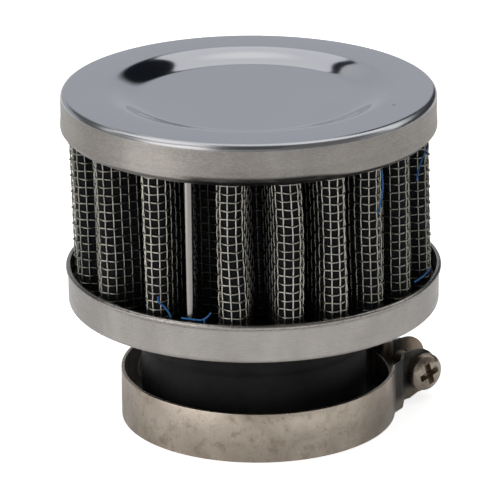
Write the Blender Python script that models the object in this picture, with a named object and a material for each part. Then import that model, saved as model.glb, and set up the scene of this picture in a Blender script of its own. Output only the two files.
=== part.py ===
# Motorcycle pod air filter: a pleated wire and gauze element set in resin between a pressed cap and a pan,
# on a rubber neck with a loose screw clamp round it. Metres, +Z up; the filter stands on its neck at z = 0,
# the origin is under the middle of the pan, and the photograph looks along +Y.

import math

import bmesh
import bpy
from mathutils import Matrix, Vector

MM = 0.001

# Sheet, clearance, and the number of sides of a round piece with the room that its flats take
SHEET = 0.5 * MM
FIT = 0.3 * MM
FLATS_PLAY = 0.1 * MM
ROUND_SIDES = 36

# Pleated element: radius over the wires, depth of a valley, length, and the bends of the folds
ELEMENT_RADIUS = 34.05 * MM
PLEAT_DEPTH = 10.6 * MM
ELEMENT_LENGTH = 30.9 * MM
CREST_BEND = 2.5 * MM
VALLEY_BEND = 0.9 * MM
SCREEN_THICK = 0.4 * MM
GAUZE_THICK = 0.7 * MM

# Crest angles in degrees from the front (-Y) towards +X: uneven where the photograph shows them, even behind.
# The valley that holds the seam is wide, with a flat floor between two bends this far inside its crests.
FRONT_CRESTS = (-75.0, -55.7, -33.0, -6.4, 12.3, 27.8, 42.8, 58.0, 79.0)
BACK_CRESTS = 11
SEAM_VALLEY_SIDE = 7.0

# Wires of the screen: a ridge along each bend of a crest, and a column of gaps between the middle two
WIRE_RIDGE = 0.3 * MM
RIDGE_HALF = 0.3 * MM
GAPS_PER_CREST = 6
GAP_FRAME = 0.42 * MM

# Seam where the two ends of the screen stand outwards, side by side, in a folded metal clip
SEAM_ANGLE = -19.6
SEAM_TURN = -5.0
SEAM_INSET = 1.05 * MM
FIN_THICK = 0.3 * MM
CLIP_LEG = 0.25 * MM
CLIP_DEPTH = 2.2 * MM
CLIP_FOOT = 2.2 * MM

# Resin rings, with a ledge inside the pleats
BASE_RESIN = 3.4 * MM
CAP_RESIN = 3.2 * MM
RESIN_LEDGE = 1.0 * MM

# Pan
PAN_PLAY = 0.5 * MM
PAN_DEPTH = 7.6 * MM
PAN_CORNER = 0.6 * MM
BEAD_OUT = 0.4 * MM
BEAD_HIGH = 1.2 * MM

# Cap: height over all, crimp, corner, and a dish with a flat disc in its middle
CAP_HEIGHT = 7.7 * MM
CAP_EASE = 0.1 * MM
CAP_BULGE = 0.3 * MM
CAP_CURL = 2.7 * MM
CAP_CORNER = 2.0 * MM
CAP_DISH = 1.8 * MM
DISH_SLOPE = 7.4 * MM
RIM_WIDTH = 5.65 * MM
CAP_SHIFT = -0.755 * MM

# Rubber neck
NECK_BORE = 38.0 * MM
NECK_WALL = 2.4 * MM
NECK_DROP = 23.1 * MM
NECK_CHAMFER = 0.5 * MM
COLLAR_LENGTH = 7.5 * MM
COLLAR_STEP = 0.5 * MM
LIP_OUT = 2.0 * MM
LIP_THICK = 1.8 * MM
GROOVE_OUT = 0.7 * MM
FLANGE_OUT = 3.0 * MM
FLANGE_THICK = 1.6 * MM

# Clamp: a strip lying loose round the neck, with both ends turned out as ears for one screw
BAND_WIDTH = 9.6 * MM
BAND_THICK = 0.6 * MM
BAND_SLACK = 4.17 * MM
BAND_SHIFT = 0.85 * MM
BAND_STEP = 10.0
BEND_STEP = 18.0
EAR_RADIUS = 4.4 * MM
EAR_TAPER = 2.0 * MM
EAR_BEND = 1.5 * MM

# The near ear is sprung out: it leaves the ring with a step outwards and is flat under the screw's head.
# Each ear is rounded about a point a little short of its hole or past it.
NEAR_EAR_ROOT = -4.5
NEAR_EAR_STEP = 3.0 * MM
NEAR_EAR_STEP_TURN = 58.0
NEAR_EAR_FLAT = 4.2 * MM
NEAR_EAR_PAST = -0.8 * MM
FAR_EAR_PAST = 1.5 * MM

# Line of the screw through both ears: its turn from the photograph's line of sight, height and distance
SCREW_TURN = 36.0
SCREW_HEIGHT = 5.2 * MM
SCREW_STANDOFF = 3.3 * MM
NEAR_EAR_AT = -12.6 * MM
EAR_SPACING = 6.5 * MM

# Tongue inside the band, under the gap between the ears
TONGUE_WIDTH = 5.5 * MM
TONGUE_THICK = 0.4 * MM
TONGUE_FREE_END = -14.0
TONGUE_WELDED_END = 158.0

# Screw and nut
SCREW_SIZE = 4.0 * MM
SCREW_LENGTH = 16.0 * MM
HEAD_RADIUS = 3.65 * MM
HEAD_HEIGHT = 2.3 * MM
RECESS_ARM = 2.1 * MM
RECESS_WIDTH = 0.9 * MM
RECESS_DEPTH = 1.5 * MM
RECESS_TURN = 18.0
NUT_SIDE = 6.0 * MM
NUT_THICK = 3.0 * MM

# Heights that follow from the stack of pieces
PAN_FLOOR = NECK_DROP
PAN_RIM = PAN_FLOOR + PAN_DEPTH
BASE_RESIN_BOTTOM = PAN_FLOOR + SHEET + FIT
ELEMENT_BOTTOM = BASE_RESIN_BOTTOM + BASE_RESIN + FIT
ELEMENT_TOP = ELEMENT_BOTTOM + ELEMENT_LENGTH
CAP_RESIN_BOTTOM = ELEMENT_TOP + FIT
DISC_UNDER = CAP_RESIN_BOTTOM + CAP_RESIN + FIT
CAP_TOP = DISC_UNDER + SHEET + CAP_DISH
CAP_EDGE = CAP_TOP - CAP_HEIGHT

# Radii that follow from the pieces they hold
PAN_RADIUS = ELEMENT_RADIUS + PAN_PLAY + SHEET
CURL_RADIUS = ELEMENT_RADIUS + FIT + FLATS_PLAY + SHEET
CAP_RADIUS = CURL_RADIUS + CAP_EASE
DISH_RADIUS = CAP_RADIUS - CAP_CORNER - RIM_WIDTH
DISC_RADIUS = DISH_RADIUS - DISH_SLOPE
ELEMENT_WALL = 2 * SCREEN_THICK + GAUZE_THICK + 2 * FIT
RESIN_INNER = ELEMENT_RADIUS - PLEAT_DEPTH - ELEMENT_WALL - RESIN_LEDGE
SEAM_RADIUS = ELEMENT_RADIUS - SEAM_INSET
NECK_RADIUS = NECK_BORE / 2 + NECK_WALL
BAND_INNER = NECK_RADIUS + BAND_SLACK
BAND_MIDDLE = BAND_INNER + BAND_THICK / 2


def clear_scene():
    for obj in list(bpy.data.objects):
        bpy.data.objects.remove(obj, do_unlink=True)


def make_material(name, colour, roughness, metallic):
    material = bpy.data.materials.new(name)
    material.use_nodes = True
    shader = material.node_tree.nodes["Principled BSDF"]
    shader.inputs["Base Color"].default_value = (*colour, 1.0)
    shader.inputs["Roughness"].default_value = roughness
    shader.inputs["Metallic"].default_value = metallic
    material.diffuse_color = (*colour, 1.0)
    return material


def make_object(name, bm, material, crease=35.0):
    """Turns a finished bmesh into a named object with smooth rounds and sharp creases."""
    bmesh.ops.recalc_face_normals(bm, faces=bm.faces)
    if bm.calc_volume(signed=True) < 0.0:
        bmesh.ops.reverse_faces(bm, faces=bm.faces)
    mesh = bpy.data.meshes.new(name)
    bm.to_mesh(mesh)
    bm.free()
    mesh.shade_smooth()
    mesh.set_sharp_from_angle(angle=math.radians(crease))
    obj = bpy.data.objects.new(name, mesh)
    bpy.context.collection.objects.link(obj)
    obj.data.materials.append(material)
    return obj


def turned(profile, closed, centre=0.0, sides=ROUND_SIDES):
    """Spins a profile of (radius, height): a closed one makes a ring, an open one a solid with flat discs."""
    bm = bmesh.new()
    verts = [bm.verts.new((centre + radius, 0.0, height)) for radius, height in profile]
    edges = [bm.edges.new(pair) for pair in zip(verts, verts[1:])]
    if closed:
        edges.append(bm.edges.new((verts[-1], verts[0])))
    bmesh.ops.spin(
        bm,
        geom=verts + edges,
        cent=(centre, 0.0, 0.0),
        axis=(0.0, 0.0, 1.0),
        angle=math.tau,
        steps=sides,
        use_merge=True,
    )
    open_edges = [edge for edge in bm.edges if edge.is_boundary]
    if open_edges:
        bmesh.ops.holes_fill(bm, edges=open_edges, sides=sides)
    return bm


def corner(centre_r, centre_z, radius, start, end, count):
    """Points (radius, height) of a rounded corner of a turned profile, in degrees."""
    points = []
    for step in range(count):
        turn = math.radians(start + (end - start) * step / (count - 1))
        points.append((centre_r + radius * math.cos(turn), centre_z + radius * math.sin(turn)))
    return points


def dish_slope(count):
    """The smooth fall of the cap's top from its rim to the flat disc in the middle."""
    points = []
    for step in range(count):
        share = step / (count - 1)
        radius = DISC_RADIUS + (DISH_RADIUS - DISC_RADIUS) * share
        fall = CAP_DISH * (1 + math.cos(math.pi * share)) / 2
        points.append((radius, CAP_TOP - fall))
    return points


def build_cap(material):
    """Pressed stainless cap: dished top, rounded corner, skirt crimped in at its lower edge."""
    outside = dish_slope(4)
    outside += corner(CAP_RADIUS - CAP_CORNER, CAP_TOP - CAP_CORNER, CAP_CORNER, 90, 0, 4)
    outside += [
        (CAP_RADIUS, CAP_EDGE + CAP_CURL),
        (CAP_RADIUS + CAP_BULGE, CAP_EDGE + CAP_CURL / 2),
        (CURL_RADIUS, CAP_EDGE),
    ]
    inner_corner = corner(CAP_RADIUS - CAP_CORNER, CAP_TOP - CAP_CORNER, CAP_CORNER - SHEET, 0, 90, 2)
    inside = [
        (CURL_RADIUS - SHEET, CAP_EDGE),
        (CAP_RADIUS + CAP_BULGE - SHEET, CAP_EDGE + CAP_CURL / 2),
        (CAP_RADIUS - SHEET, CAP_EDGE + CAP_CURL),
    ]
    inside += inner_corner
    inside += [(DISH_RADIUS, CAP_TOP - SHEET), (DISC_RADIUS, DISC_UNDER)]
    return make_object("top_cap", turned(outside + inside, closed=False, centre=CAP_SHIFT), material)


def build_pan(material):
    """Pressed stainless pan with a rolled bead at its rim and a hole that the neck's groove grips."""
    hole = NECK_RADIUS + GROOVE_OUT + FIT
    wall_inside = PAN_RADIUS - SHEET
    rounded = corner(PAN_RADIUS - PAN_CORNER, PAN_FLOOR + PAN_CORNER, PAN_CORNER, -90, 0, 3)
    bead = [
        (PAN_RADIUS, PAN_RIM - BEAD_HIGH),
        (PAN_RADIUS + BEAD_OUT, PAN_RIM - BEAD_HIGH * 0.7),
        (PAN_RADIUS + BEAD_OUT, PAN_RIM - BEAD_HIGH * 0.2),
        (PAN_RADIUS + BEAD_OUT / 4, PAN_RIM),
    ]
    profile = [(hole, PAN_FLOOR)] + rounded + bead
    profile += [
        (wall_inside, PAN_RIM),
        (wall_inside, PAN_FLOOR + SHEET),
        (hole, PAN_FLOOR + SHEET),
    ]
    return make_object("base_pan", turned(profile, closed=True), material)


def build_neck(material):
    """Moulded rubber neck: plain sleeve, thicker collar, lip and flange with the pan's edge between them."""
    bore = NECK_BORE / 2
    groove = NECK_RADIUS + GROOVE_OUT
    lip_top = PAN_FLOOR - FIT
    flange_bottom = PAN_FLOOR + SHEET + FIT
    flange_top = flange_bottom + FLANGE_THICK
    collar_bottom = lip_top - COLLAR_LENGTH
    profile = [
        (bore, 0.0),
        (NECK_RADIUS - NECK_CHAMFER, 0.0),
        (NECK_RADIUS, NECK_CHAMFER),
        (NECK_RADIUS, collar_bottom),
        (NECK_RADIUS + COLLAR_STEP, collar_bottom + COLLAR_STEP),
        (NECK_RADIUS + COLLAR_STEP, lip_top - LIP_THICK),
        (NECK_RADIUS + LIP_OUT, lip_top - LIP_THICK),
        (NECK_RADIUS + LIP_OUT, lip_top),
        (groove, lip_top),
        (groove, flange_bottom),
        (NECK_RADIUS + FLANGE_OUT, flange_bottom),
        (NECK_RADIUS + FLANGE_OUT, flange_top),
        (bore, flange_top),
    ]
    return make_object("rubber_neck", turned(profile, closed=True), material)


def build_base_resin(material):
    """Cast ring in the pan, over the neck's flange, that holds the lower ends of the pleats."""
    outer = PAN_RADIUS - SHEET - FIT
    step = NECK_RADIUS + FLANGE_OUT + FIT
    step_top = BASE_RESIN_BOTTOM + FLANGE_THICK + FIT
    top = BASE_RESIN_BOTTOM + BASE_RESIN
    profile = [
        (outer, BASE_RESIN_BOTTOM),
        (outer, top),
        (RESIN_INNER, top),
        (RESIN_INNER, step_top),
        (step, step_top),
        (step, BASE_RESIN_BOTTOM),
    ]
    return make_object("base_resin_ring", turned(profile, closed=True), material)


def dish_under(radius):
    """Height of the cap's underside at a radius: its disc, its slope or its rim."""
    share = (radius - DISC_RADIUS) / (DISH_RADIUS - DISC_RADIUS)
    return DISC_UNDER + CAP_DISH * min(max(share, 0.0), 1.0)


def build_cap_resin(material):
    """Cast ring under the cap, shaped by the cap's dish, that holds the upper ends of the pleats."""
    outer = CAP_RADIUS - SHEET - FIT
    under_rim = CAP_TOP - SHEET - FIT
    profile = [
        (outer, CAP_RESIN_BOTTOM),
        (outer, CAP_TOP - CAP_CORNER),
        (CAP_RADIUS - CAP_CORNER, under_rim),
        (DISH_RADIUS + FIT / 2, under_rim),
        (RESIN_INNER, dish_under(RESIN_INNER) - FIT),
        (RESIN_INNER, CAP_RESIN_BOTTOM),
    ]
    return make_object("cap_resin_ring", turned(profile, closed=True, centre=CAP_SHIFT), material)


def from_front(degrees, radius):
    """A point in plan at an angle from the front (-Y) towards +X."""
    turn = math.radians(degrees)
    return Vector((radius * math.sin(turn), -radius * math.cos(turn)))


def crest_angles():
    """The front crests as photographed, then the hidden ones evenly spaced round the back."""
    first, last = FRONT_CRESTS[0] + 360.0, FRONT_CRESTS[-1]
    spacing = (first - last) / (BACK_CRESTS + 1)
    return list(FRONT_CRESTS) + [last + spacing * (step + 1) for step in range(BACK_CRESTS)]


def flank_turn(crest, valley, side):
    """Direction from a crest's centre to where a flank leaves its bend, on the side of the valley."""
    across = valley - crest
    lean = math.acos((CREST_BEND + VALLEY_BEND) / across.length)
    return math.atan2(across.y, across.x) - side * lean


def valley_centres(left, right):
    """Centres of the bends at the bottom of the valley between two crests: one, or two round the seam."""
    radius = ELEMENT_RADIUS - PLEAT_DEPTH + VALLEY_BEND
    if not left < SEAM_ANGLE < right:
        middle = from_front((left + right) / 2, radius)
        return middle, middle
    return from_front(left + SEAM_VALLEY_SIDE, radius), from_front(right - SEAM_VALLEY_SIDE, radius)


def around(centre, radius, turn):
    return centre + Vector((math.cos(turn), math.sin(turn))) * radius


def crossing(point_a, along_a, point_b, along_b):
    """Where two lines in plan cross."""
    across = point_b - point_a
    scale = along_a.x * along_b.y - along_a.y * along_b.x
    return point_a + along_a * ((across.x * along_b.y - across.y * along_b.x) / scale)


def pleat_outline():
    """Outer face of the pleated screen in plan, anticlockwise: four bends a crest and two a valley.

    Each entry is (point, kind). The edges are tangents of round bends, so offset outlines stay parallel.
    """
    angles = crest_angles()
    count = len(angles)
    crests = [from_front(angle, ELEMENT_RADIUS - WIRE_RIDGE - CREST_BEND) for angle in angles]
    outline = []
    for index in range(count):
        before = angles[index - 1] - (360.0 if index == 0 else 0.0)
        after = angles[(index + 1) % count] + (360.0 if index == count - 1 else 0.0)
        valley_before = valley_centres(before, angles[index])[1]
        valley_here, valley_next = valley_centres(angles[index], after)
        start = flank_turn(crests[index], valley_before, -1)
        end = flank_turn(crests[index], valley_here, 1)
        span = (end - start) % math.tau
        step = span / 4
        for bend in range(4):
            turn = start + step * (bend + 0.5)
            reach = CREST_BEND / math.cos(step / 2)
            kind = ("side", "left", "right", "side")[bend]
            outline.append((around(crests[index], reach, turn), kind))
        outline += valley_corners(crests[index], end, crests[(index + 1) % count], valley_here, valley_next)
    return outline


def valley_corners(crest, leaving, next_crest, centre, next_centre):
    """The two bends at the bottom of a valley: the flanks cut by the floor's tangent."""
    floor_turn = (centre + next_centre).normalized() * -1
    floor_point = centre + floor_turn * VALLEY_BEND
    along_floor = Vector((-floor_turn.y, floor_turn.x))
    arriving = flank_turn(next_crest, next_centre, -1)
    left_flank = Vector((-math.sin(leaving), math.cos(leaving)))
    right_flank = Vector((-math.sin(arriving), math.cos(arriving)))
    left = crossing(around(crest, CREST_BEND, leaving), left_flank, floor_point, along_floor)
    right = crossing(around(next_crest, CREST_BEND, arriving), right_flank, floor_point, along_floor)
    kind = "wide" if (next_centre - centre).length > VALLEY_BEND else "floor"
    return [(left, kind), (right, "floor")]


def offset_outline(points, distance):
    """The outline moved inwards by a distance, every edge parallel to its own."""
    moved = []
    count = len(points)
    for index in range(count):
        before, here, after = points[index - 1], points[index], points[(index + 1) % count]
        edge_in = (here - before).normalized()
        edge_out = (after - here).normalized()
        inward_in = Vector((-edge_in.y, edge_in.x))
        inward_out = Vector((-edge_out.y, edge_out.x))
        moved.append(crossing(here + inward_in * distance, edge_in, here + inward_out * distance, edge_out))
    return moved


def element_lean(height):
    """The pleats lean with the cap, which sits a little to one side of the pan."""
    share = (height - ELEMENT_BOTTOM) / ELEMENT_LENGTH
    return CAP_SHIFT * min(max(share, 0.0), 1.0)


def raise_wall(bm, faces, bottom, top):
    """Extrudes flat faces at one height into a leaning wall up to another."""
    made = bmesh.ops.extrude_face_region(bm, geom=faces)
    lift = Vector((element_lean(top) - element_lean(bottom), 0.0, top - bottom))
    verts = [item for item in made["geom"] if isinstance(item, bmesh.types.BMVert)]
    bmesh.ops.translate(bm, verts=verts, vec=lift)


def level_verts(bm, points, height):
    lean = element_lean(height)
    return [bm.verts.new((point.x + lean, point.y, height)) for point in points]


def build_layer(name, material, outline, near, far):
    """One plain pleated layer of the element between two distances inside the screen's outer face."""
    bm = bmesh.new()
    points = [point for point, kind in outline]
    outer = level_verts(bm, offset_outline(points, near), ELEMENT_BOTTOM)
    inner = level_verts(bm, offset_outline(points, far), ELEMENT_BOTTOM)
    count = len(outer)
    faces = []
    for index in range(count):
        following = (index + 1) % count
        faces.append(bm.faces.new((outer[index], outer[following], inner[following], inner[index])))
    raise_wall(bm, faces, ELEMENT_BOTTOM, ELEMENT_TOP)
    return make_object(name, bm, material)


def ridge_points(outline):
    """Each bend of a crest becomes a wire standing proud: foot, top and foot. Other bends stay one point."""
    points = [point for point, kind in outline]
    count = len(points)
    raised = offset_outline(points, -WIRE_RIDGE)
    groups = []
    for index, (point, kind) in enumerate(outline):
        if kind in ("floor", "wide"):
            groups.append([point])
            continue
        back = (points[index - 1] - point).normalized() * RIDGE_HALF
        forth = (points[(index + 1) % count] - point).normalized() * RIDGE_HALF
        groups.append([point + back, raised[index], point + forth])
    return groups


def seam_frame():
    """Plan position of the seam's outer end, the direction it points and the direction across it."""
    tip = from_front(SEAM_ANGLE, SEAM_RADIUS)
    outward = from_front(SEAM_TURN, 1.0)
    return tip, outward, Vector((-outward.y, outward.x))


def seam_fin(left, right):
    """Corners of the fin that stands on the floor of the wide valley, where the screen's ends meet."""
    tip, outward, across = seam_frame()
    floor = (right - left).normalized()
    corners = []
    for side in (-1, 1):
        edge = tip + across * side * FIN_THICK / 2
        foot = crossing(edge, outward, left, floor)
        corners.append((foot, edge))
    return [corners[0][0], corners[0][1], corners[1][1], corners[1][0]]


def side_face(vert_a, vert_b):
    """The upright face over one bottom edge of a raised wall."""
    shared = set(vert_a.link_faces) & set(vert_b.link_faces)
    for face in shared:
        face.normal_update()
    return min(shared, key=lambda face: abs(face.normal.z))


def split_in_cells(bm, face, levels):
    """Cuts one upright face into a column of cells; its neighbours only gain corners."""
    cells = [face]
    for level in levels:
        upper = cells[-1]
        geom = [upper] + list(upper.edges) + list(upper.verts)
        cut = bmesh.ops.bisect_plane(bm, geom=geom, plane_co=(0.0, 0.0, level), plane_no=(0.0, 0.0, 1.0))
        halves = [item for item in cut["geom"] if isinstance(item, bmesh.types.BMFace)]
        halves.sort(key=lambda item: item.calc_center_median().z)
        cells[-1:] = halves
    return cells


def open_gap(bm, outer_cell, inner_cell):
    """Cuts a framed gap right through the wall between two facing cells."""
    rims = []
    for cell in (outer_cell, inner_cell):
        bmesh.ops.inset_individual(bm, faces=[cell], thickness=GAP_FRAME)
        rims.append(list(cell.edges))
        bmesh.ops.delete(bm, geom=[cell], context="FACES_ONLY")
    bmesh.ops.bridge_loops(bm, edges=rims[0] + rims[1])


def build_screen(name, material, outline):
    """The woven wire screen: wire ridges up every crest, six gaps a crest, and the seam's fin."""
    bm = bmesh.new()
    points = [point for point, kind in outline]
    groups = [level_verts(bm, group, ELEMENT_BOTTOM) for group in ridge_points(outline)]
    inner = level_verts(bm, offset_outline(points, SCREEN_THICK), ELEMENT_BOTTOM)
    count = len(outline)
    faces, windows = [], []
    for index in range(count):
        following = (index + 1) % count
        here, after = groups[index], groups[following]
        rim = here[len(here) // 2:] + after[: len(after) // 2 + 1]
        if outline[index][1] == "wide":
            fin = level_verts(bm, seam_fin(points[index], points[following]), ELEMENT_BOTTOM)
            rim = [rim[0]] + fin + [rim[-1]]
        faces.append(bm.faces.new(rim + [inner[following], inner[index]]))
        if outline[index][1] == "left":
            windows.append((here[-1], after[0], inner[index], inner[following]))
    raise_wall(bm, faces, ELEMENT_BOTTOM, ELEMENT_TOP)
    pitch = ELEMENT_LENGTH / GAPS_PER_CREST
    levels = [ELEMENT_BOTTOM + pitch * step for step in range(1, GAPS_PER_CREST)]
    for outer_a, outer_b, inner_a, inner_b in windows:
        outer_cells = split_in_cells(bm, side_face(outer_a, outer_b), levels)
        inner_cells = split_in_cells(bm, side_face(inner_a, inner_b), levels)
        for pair in zip(outer_cells, inner_cells):
            open_gap(bm, *pair)
    return make_object(name, bm, material)


def build_seam_clip(material):
    """Folded strip pressed over the seam's fin, open towards the middle."""
    bm = bmesh.new()
    tip, outward, across = seam_frame()
    half_slot = FIN_THICK / 2 + FIT
    half_clip = half_slot + CLIP_LEG
    front = tip + outward * (FIT + CLIP_LEG)
    slot_end = tip + outward * FIT
    back = front - outward * CLIP_DEPTH
    section = [
        back - across * half_clip,
        front - across * half_clip,
        front + across * half_clip,
        back + across * half_clip,
        back + across * half_slot,
        slot_end + across * half_slot,
        slot_end - across * half_slot,
        back - across * half_slot,
    ]
    foot = ELEMENT_BOTTOM + CLIP_FOOT
    face = bm.faces.new(level_verts(bm, section, foot))
    raise_wall(bm, [face], foot, ELEMENT_TOP)
    return make_object("seam_clip", bm, material)


def screw_line():
    """Clamp centre, direction of the ears, and direction along the screw from its head to its tip."""
    turn = math.radians(SCREW_TURN)
    outward = Vector((math.cos(turn), math.sin(turn)))
    along = Vector((-math.sin(turn), math.cos(turn)))
    return Vector((BAND_SHIFT, 0.0)), outward, along


def ear_hole(distance):
    """Centre of an ear's hole in plan, at a distance along the screw from its nearest point to the neck."""
    centre, outward, along = screw_line()
    return centre + outward * (BAND_INNER + BAND_THICK + SCREW_STANDOFF) + along * distance


def arc_stations(centre, radius, start, end, step):
    """Points in plan along an arc, in degrees, about one step apart."""
    count = max(2, round(abs(end - start) / step) + 1)
    points = []
    for index in range(count):
        turn = math.radians(start + (end - start) * index / (count - 1))
        points.append(around(centre, radius, turn))
    return points


def bend(before, corner, after, radius):
    """Points along a round bend in plan that joins two straight runs at a corner."""
    arriving = (corner - before).normalized()
    leaving = (after - corner).normalized()
    turn = math.atan2(arriving.x * leaving.y - arriving.y * leaving.x, arriving.dot(leaving))
    start = corner - arriving * radius * math.tan(abs(turn) / 2)
    centre = start + Vector((-arriving.y, arriving.x)) * math.copysign(radius, turn)
    first = math.degrees(math.atan2(start.y - centre.y, start.x - centre.x))
    return arc_stations(centre, radius, first, first + math.degrees(turn), BEND_STEP)


def near_ear_path(centre, near, outward):
    """From the ear's end, past its hole, to where it joins the ring."""
    root_turn = math.radians(NEAR_EAR_ROOT)
    step_turn = math.radians(NEAR_EAR_STEP_TURN)
    root = around(centre, BAND_MIDDLE, root_turn)
    on_ring = root + Vector((math.sin(root_turn), -math.cos(root_turn))) * EAR_BEND
    step = root + Vector((math.cos(step_turn), math.sin(step_turn))) * NEAR_EAR_STEP
    foot = near - outward * NEAR_EAR_FLAT
    end = near + outward * NEAR_EAR_PAST
    path = [end + outward * share * EAR_RADIUS for share in (1.0, 0.92, 0.7, 0.38, 0.0)]
    path += [end - outward * share * EAR_TAPER for share in (0.5, 1.0)]
    path += bend(near, foot, step, EAR_BEND)
    path += bend(foot, step, root, EAR_BEND)
    path += bend(step, root, on_ring, EAR_BEND)
    return end, path


def far_ear_path(centre, far, outward, along):
    """Where the ring bends out into the far ear, and from there past its hole to the ear's end."""
    bend_middle = EAR_BEND + BAND_THICK / 2
    reach = BAND_MIDDLE + bend_middle
    start = far + along * bend_middle - centre
    ear_length = start.dot(outward) - math.sqrt(start.dot(outward) ** 2 - start.length_squared + reach**2)
    bend_centre = centre + start - outward * ear_length
    arrives = math.degrees(math.atan2(bend_centre.y - centre.y, bend_centre.x - centre.x))
    end = far + outward * FAR_EAR_PAST
    path = arc_stations(bend_centre, bend_middle, arrives + 180.0, 270.0 + SCREW_TURN, BEND_STEP)
    path += [end - outward * share * EAR_TAPER for share in (1.0, 0.5)]
    path += [end + outward * share * EAR_RADIUS for share in (0.0, 0.38, 0.7, 0.92, 1.0)]
    return arrives, end, path


def ear_edges(point, end, outward):
    """Lower and upper edge of the strip at a point: round at the ear's end, widening to the full width."""
    past = (point - end).dot(outward)
    if past > 0.0:
        half = math.sqrt(max(EAR_RADIUS**2 - past**2, (0.25 * EAR_RADIUS) ** 2))
        return SCREW_HEIGHT - half, SCREW_HEIGHT + half
    blend = (1 - math.cos(math.pi * min(1.0, -past / EAR_TAPER))) / 2
    lower = (SCREW_HEIGHT - EAR_RADIUS) * (1 - blend)
    upper = SCREW_HEIGHT + EAR_RADIUS + (BAND_WIDTH - SCREW_HEIGHT - EAR_RADIUS) * blend
    return lower, upper


def strip(stations, thickness):
    """A bent strip: stations are (point in plan, lower, upper edge), half its thickness each side."""
    bm = bmesh.new()
    sections = []
    count = len(stations)
    for index, (point, lower, upper) in enumerate(stations):
        before = stations[max(index - 1, 0)][0]
        after = stations[min(index + 1, count - 1)][0]
        run = (after - before).normalized()
        side = Vector((-run.y, run.x)) * (thickness / 2)
        corners = []
        for offset, height in ((side, upper), (side, lower), (-side, lower), (-side, upper)):
            corners.append(bm.verts.new((point.x + offset.x, point.y + offset.y, height)))
        sections.append(corners)
    for here, after in zip(sections, sections[1:]):
        for index in range(4):
            following = (index + 1) % 4
            bm.faces.new((here[index], here[following], after[following], after[index]))
    bm.faces.new(sections[0])
    bm.faces.new(sections[-1])
    return bm


def build_band(material):
    """Clamp band with its two ears, bent from one strip."""
    centre, outward, along = screw_line()
    near, far = ear_hole(NEAR_EAR_AT), ear_hole(NEAR_EAR_AT + EAR_SPACING)
    near_end, near_path = near_ear_path(centre, near, outward)
    arrives, far_end, far_path = far_ear_path(centre, far, outward, along)
    joins = near_path[-1] - centre
    leaves = math.degrees(math.atan2(joins.y, joins.x))
    ring = arc_stations(centre, BAND_MIDDLE, leaves, arrives - 360.0, BAND_STEP)[1:-1]
    stations = [(point, *ear_edges(point, near_end, outward)) for point in near_path]
    stations += [(point, 0.0, BAND_WIDTH) for point in ring]
    stations += [(point, *ear_edges(point, far_end, outward)) for point in far_path]
    return make_object("clamp_band", strip(stations, BAND_THICK), material)


def build_tongue(material):
    """Narrow strip inside the band: one round end free under the near ear, the other spot-welded behind."""
    radius = BAND_INNER - FIT - TONGUE_THICK / 2
    centre = Vector((BAND_SHIFT, 0.0))
    middle = BAND_WIDTH / 2
    half = TONGUE_WIDTH / 2
    rounding = math.degrees(half / radius)
    ends = [(0.0, half * 0.3)]
    for share in (0.35, 0.75):
        ends.append((rounding * share, half * math.sqrt(share * (2 - share))))
    turns = [(TONGUE_FREE_END + turn, height) for turn, height in ends]
    count = round((TONGUE_WELDED_END - TONGUE_FREE_END) / BAND_STEP)
    for index in range(1, count):
        turns.append((TONGUE_FREE_END + (TONGUE_WELDED_END - TONGUE_FREE_END) * index / count, half))
    turns += [(TONGUE_WELDED_END - turn, height) for turn, height in reversed(ends)]
    stations = []
    for turn, height in turns:
        stations.append((around(centre, radius, math.radians(turn)), middle - height, middle + height))
    return make_object("clamp_tongue", strip(stations, TONGUE_THICK), material)


def screw_place(distance):
    """World placement on the screw's line: local +Z points out of the head, at a distance along the line."""
    spot = ear_hole(distance)
    turn = Matrix.Rotation(math.radians(SCREW_TURN), 4, "Z") @ Matrix.Rotation(math.radians(90.0), 4, "X")
    return Matrix.Translation((spot.x, spot.y, SCREW_HEIGHT)) @ turn


def build_recess_cutter(place):
    """Cross-shaped cutter with sloping ends for the screw's recess."""
    bm = bmesh.new()
    lower, upper = HEAD_HEIGHT - RECESS_DEPTH, HEAD_HEIGHT + FIT
    outline = []
    for quarter in range(4):
        spin = Matrix.Rotation(math.radians(90.0 * quarter), 2)
        half = RECESS_WIDTH / 2
        outline += [spin @ Vector(pair) for pair in ((half, half), (RECESS_ARM, half), (RECESS_ARM, -half))]
    order = []
    for quarter in range(4):
        base = quarter * 3
        order += [outline[base + 2], outline[base + 1], outline[base]]
    verts = [bm.verts.new((point.x, point.y, upper)) for point in order]
    face = bm.faces.new(verts)
    made = bmesh.ops.extrude_face_region(bm, geom=[face])
    lowered = [item for item in made["geom"] if isinstance(item, bmesh.types.BMVert)]
    for vert in lowered:
        vert.co.z = lower
        vert.co.x *= 0.55
        vert.co.y *= 0.55
    cutter = make_object("cutter_recess", bm, make_material("cutter", (0.5, 0.5, 0.5), 0.5, 0.0))
    cutter.matrix_world = place @ Matrix.Rotation(math.radians(RECESS_TURN), 4, "Z")
    return as_cutter(cutter)


def as_cutter(obj):
    obj.hide_render = True
    obj.display_type = "WIRE"
    return obj


def cut(obj, cutter):
    modifier = obj.modifiers.new("cut", "BOOLEAN")
    modifier.operation = "DIFFERENCE"
    modifier.object = cutter


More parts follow.
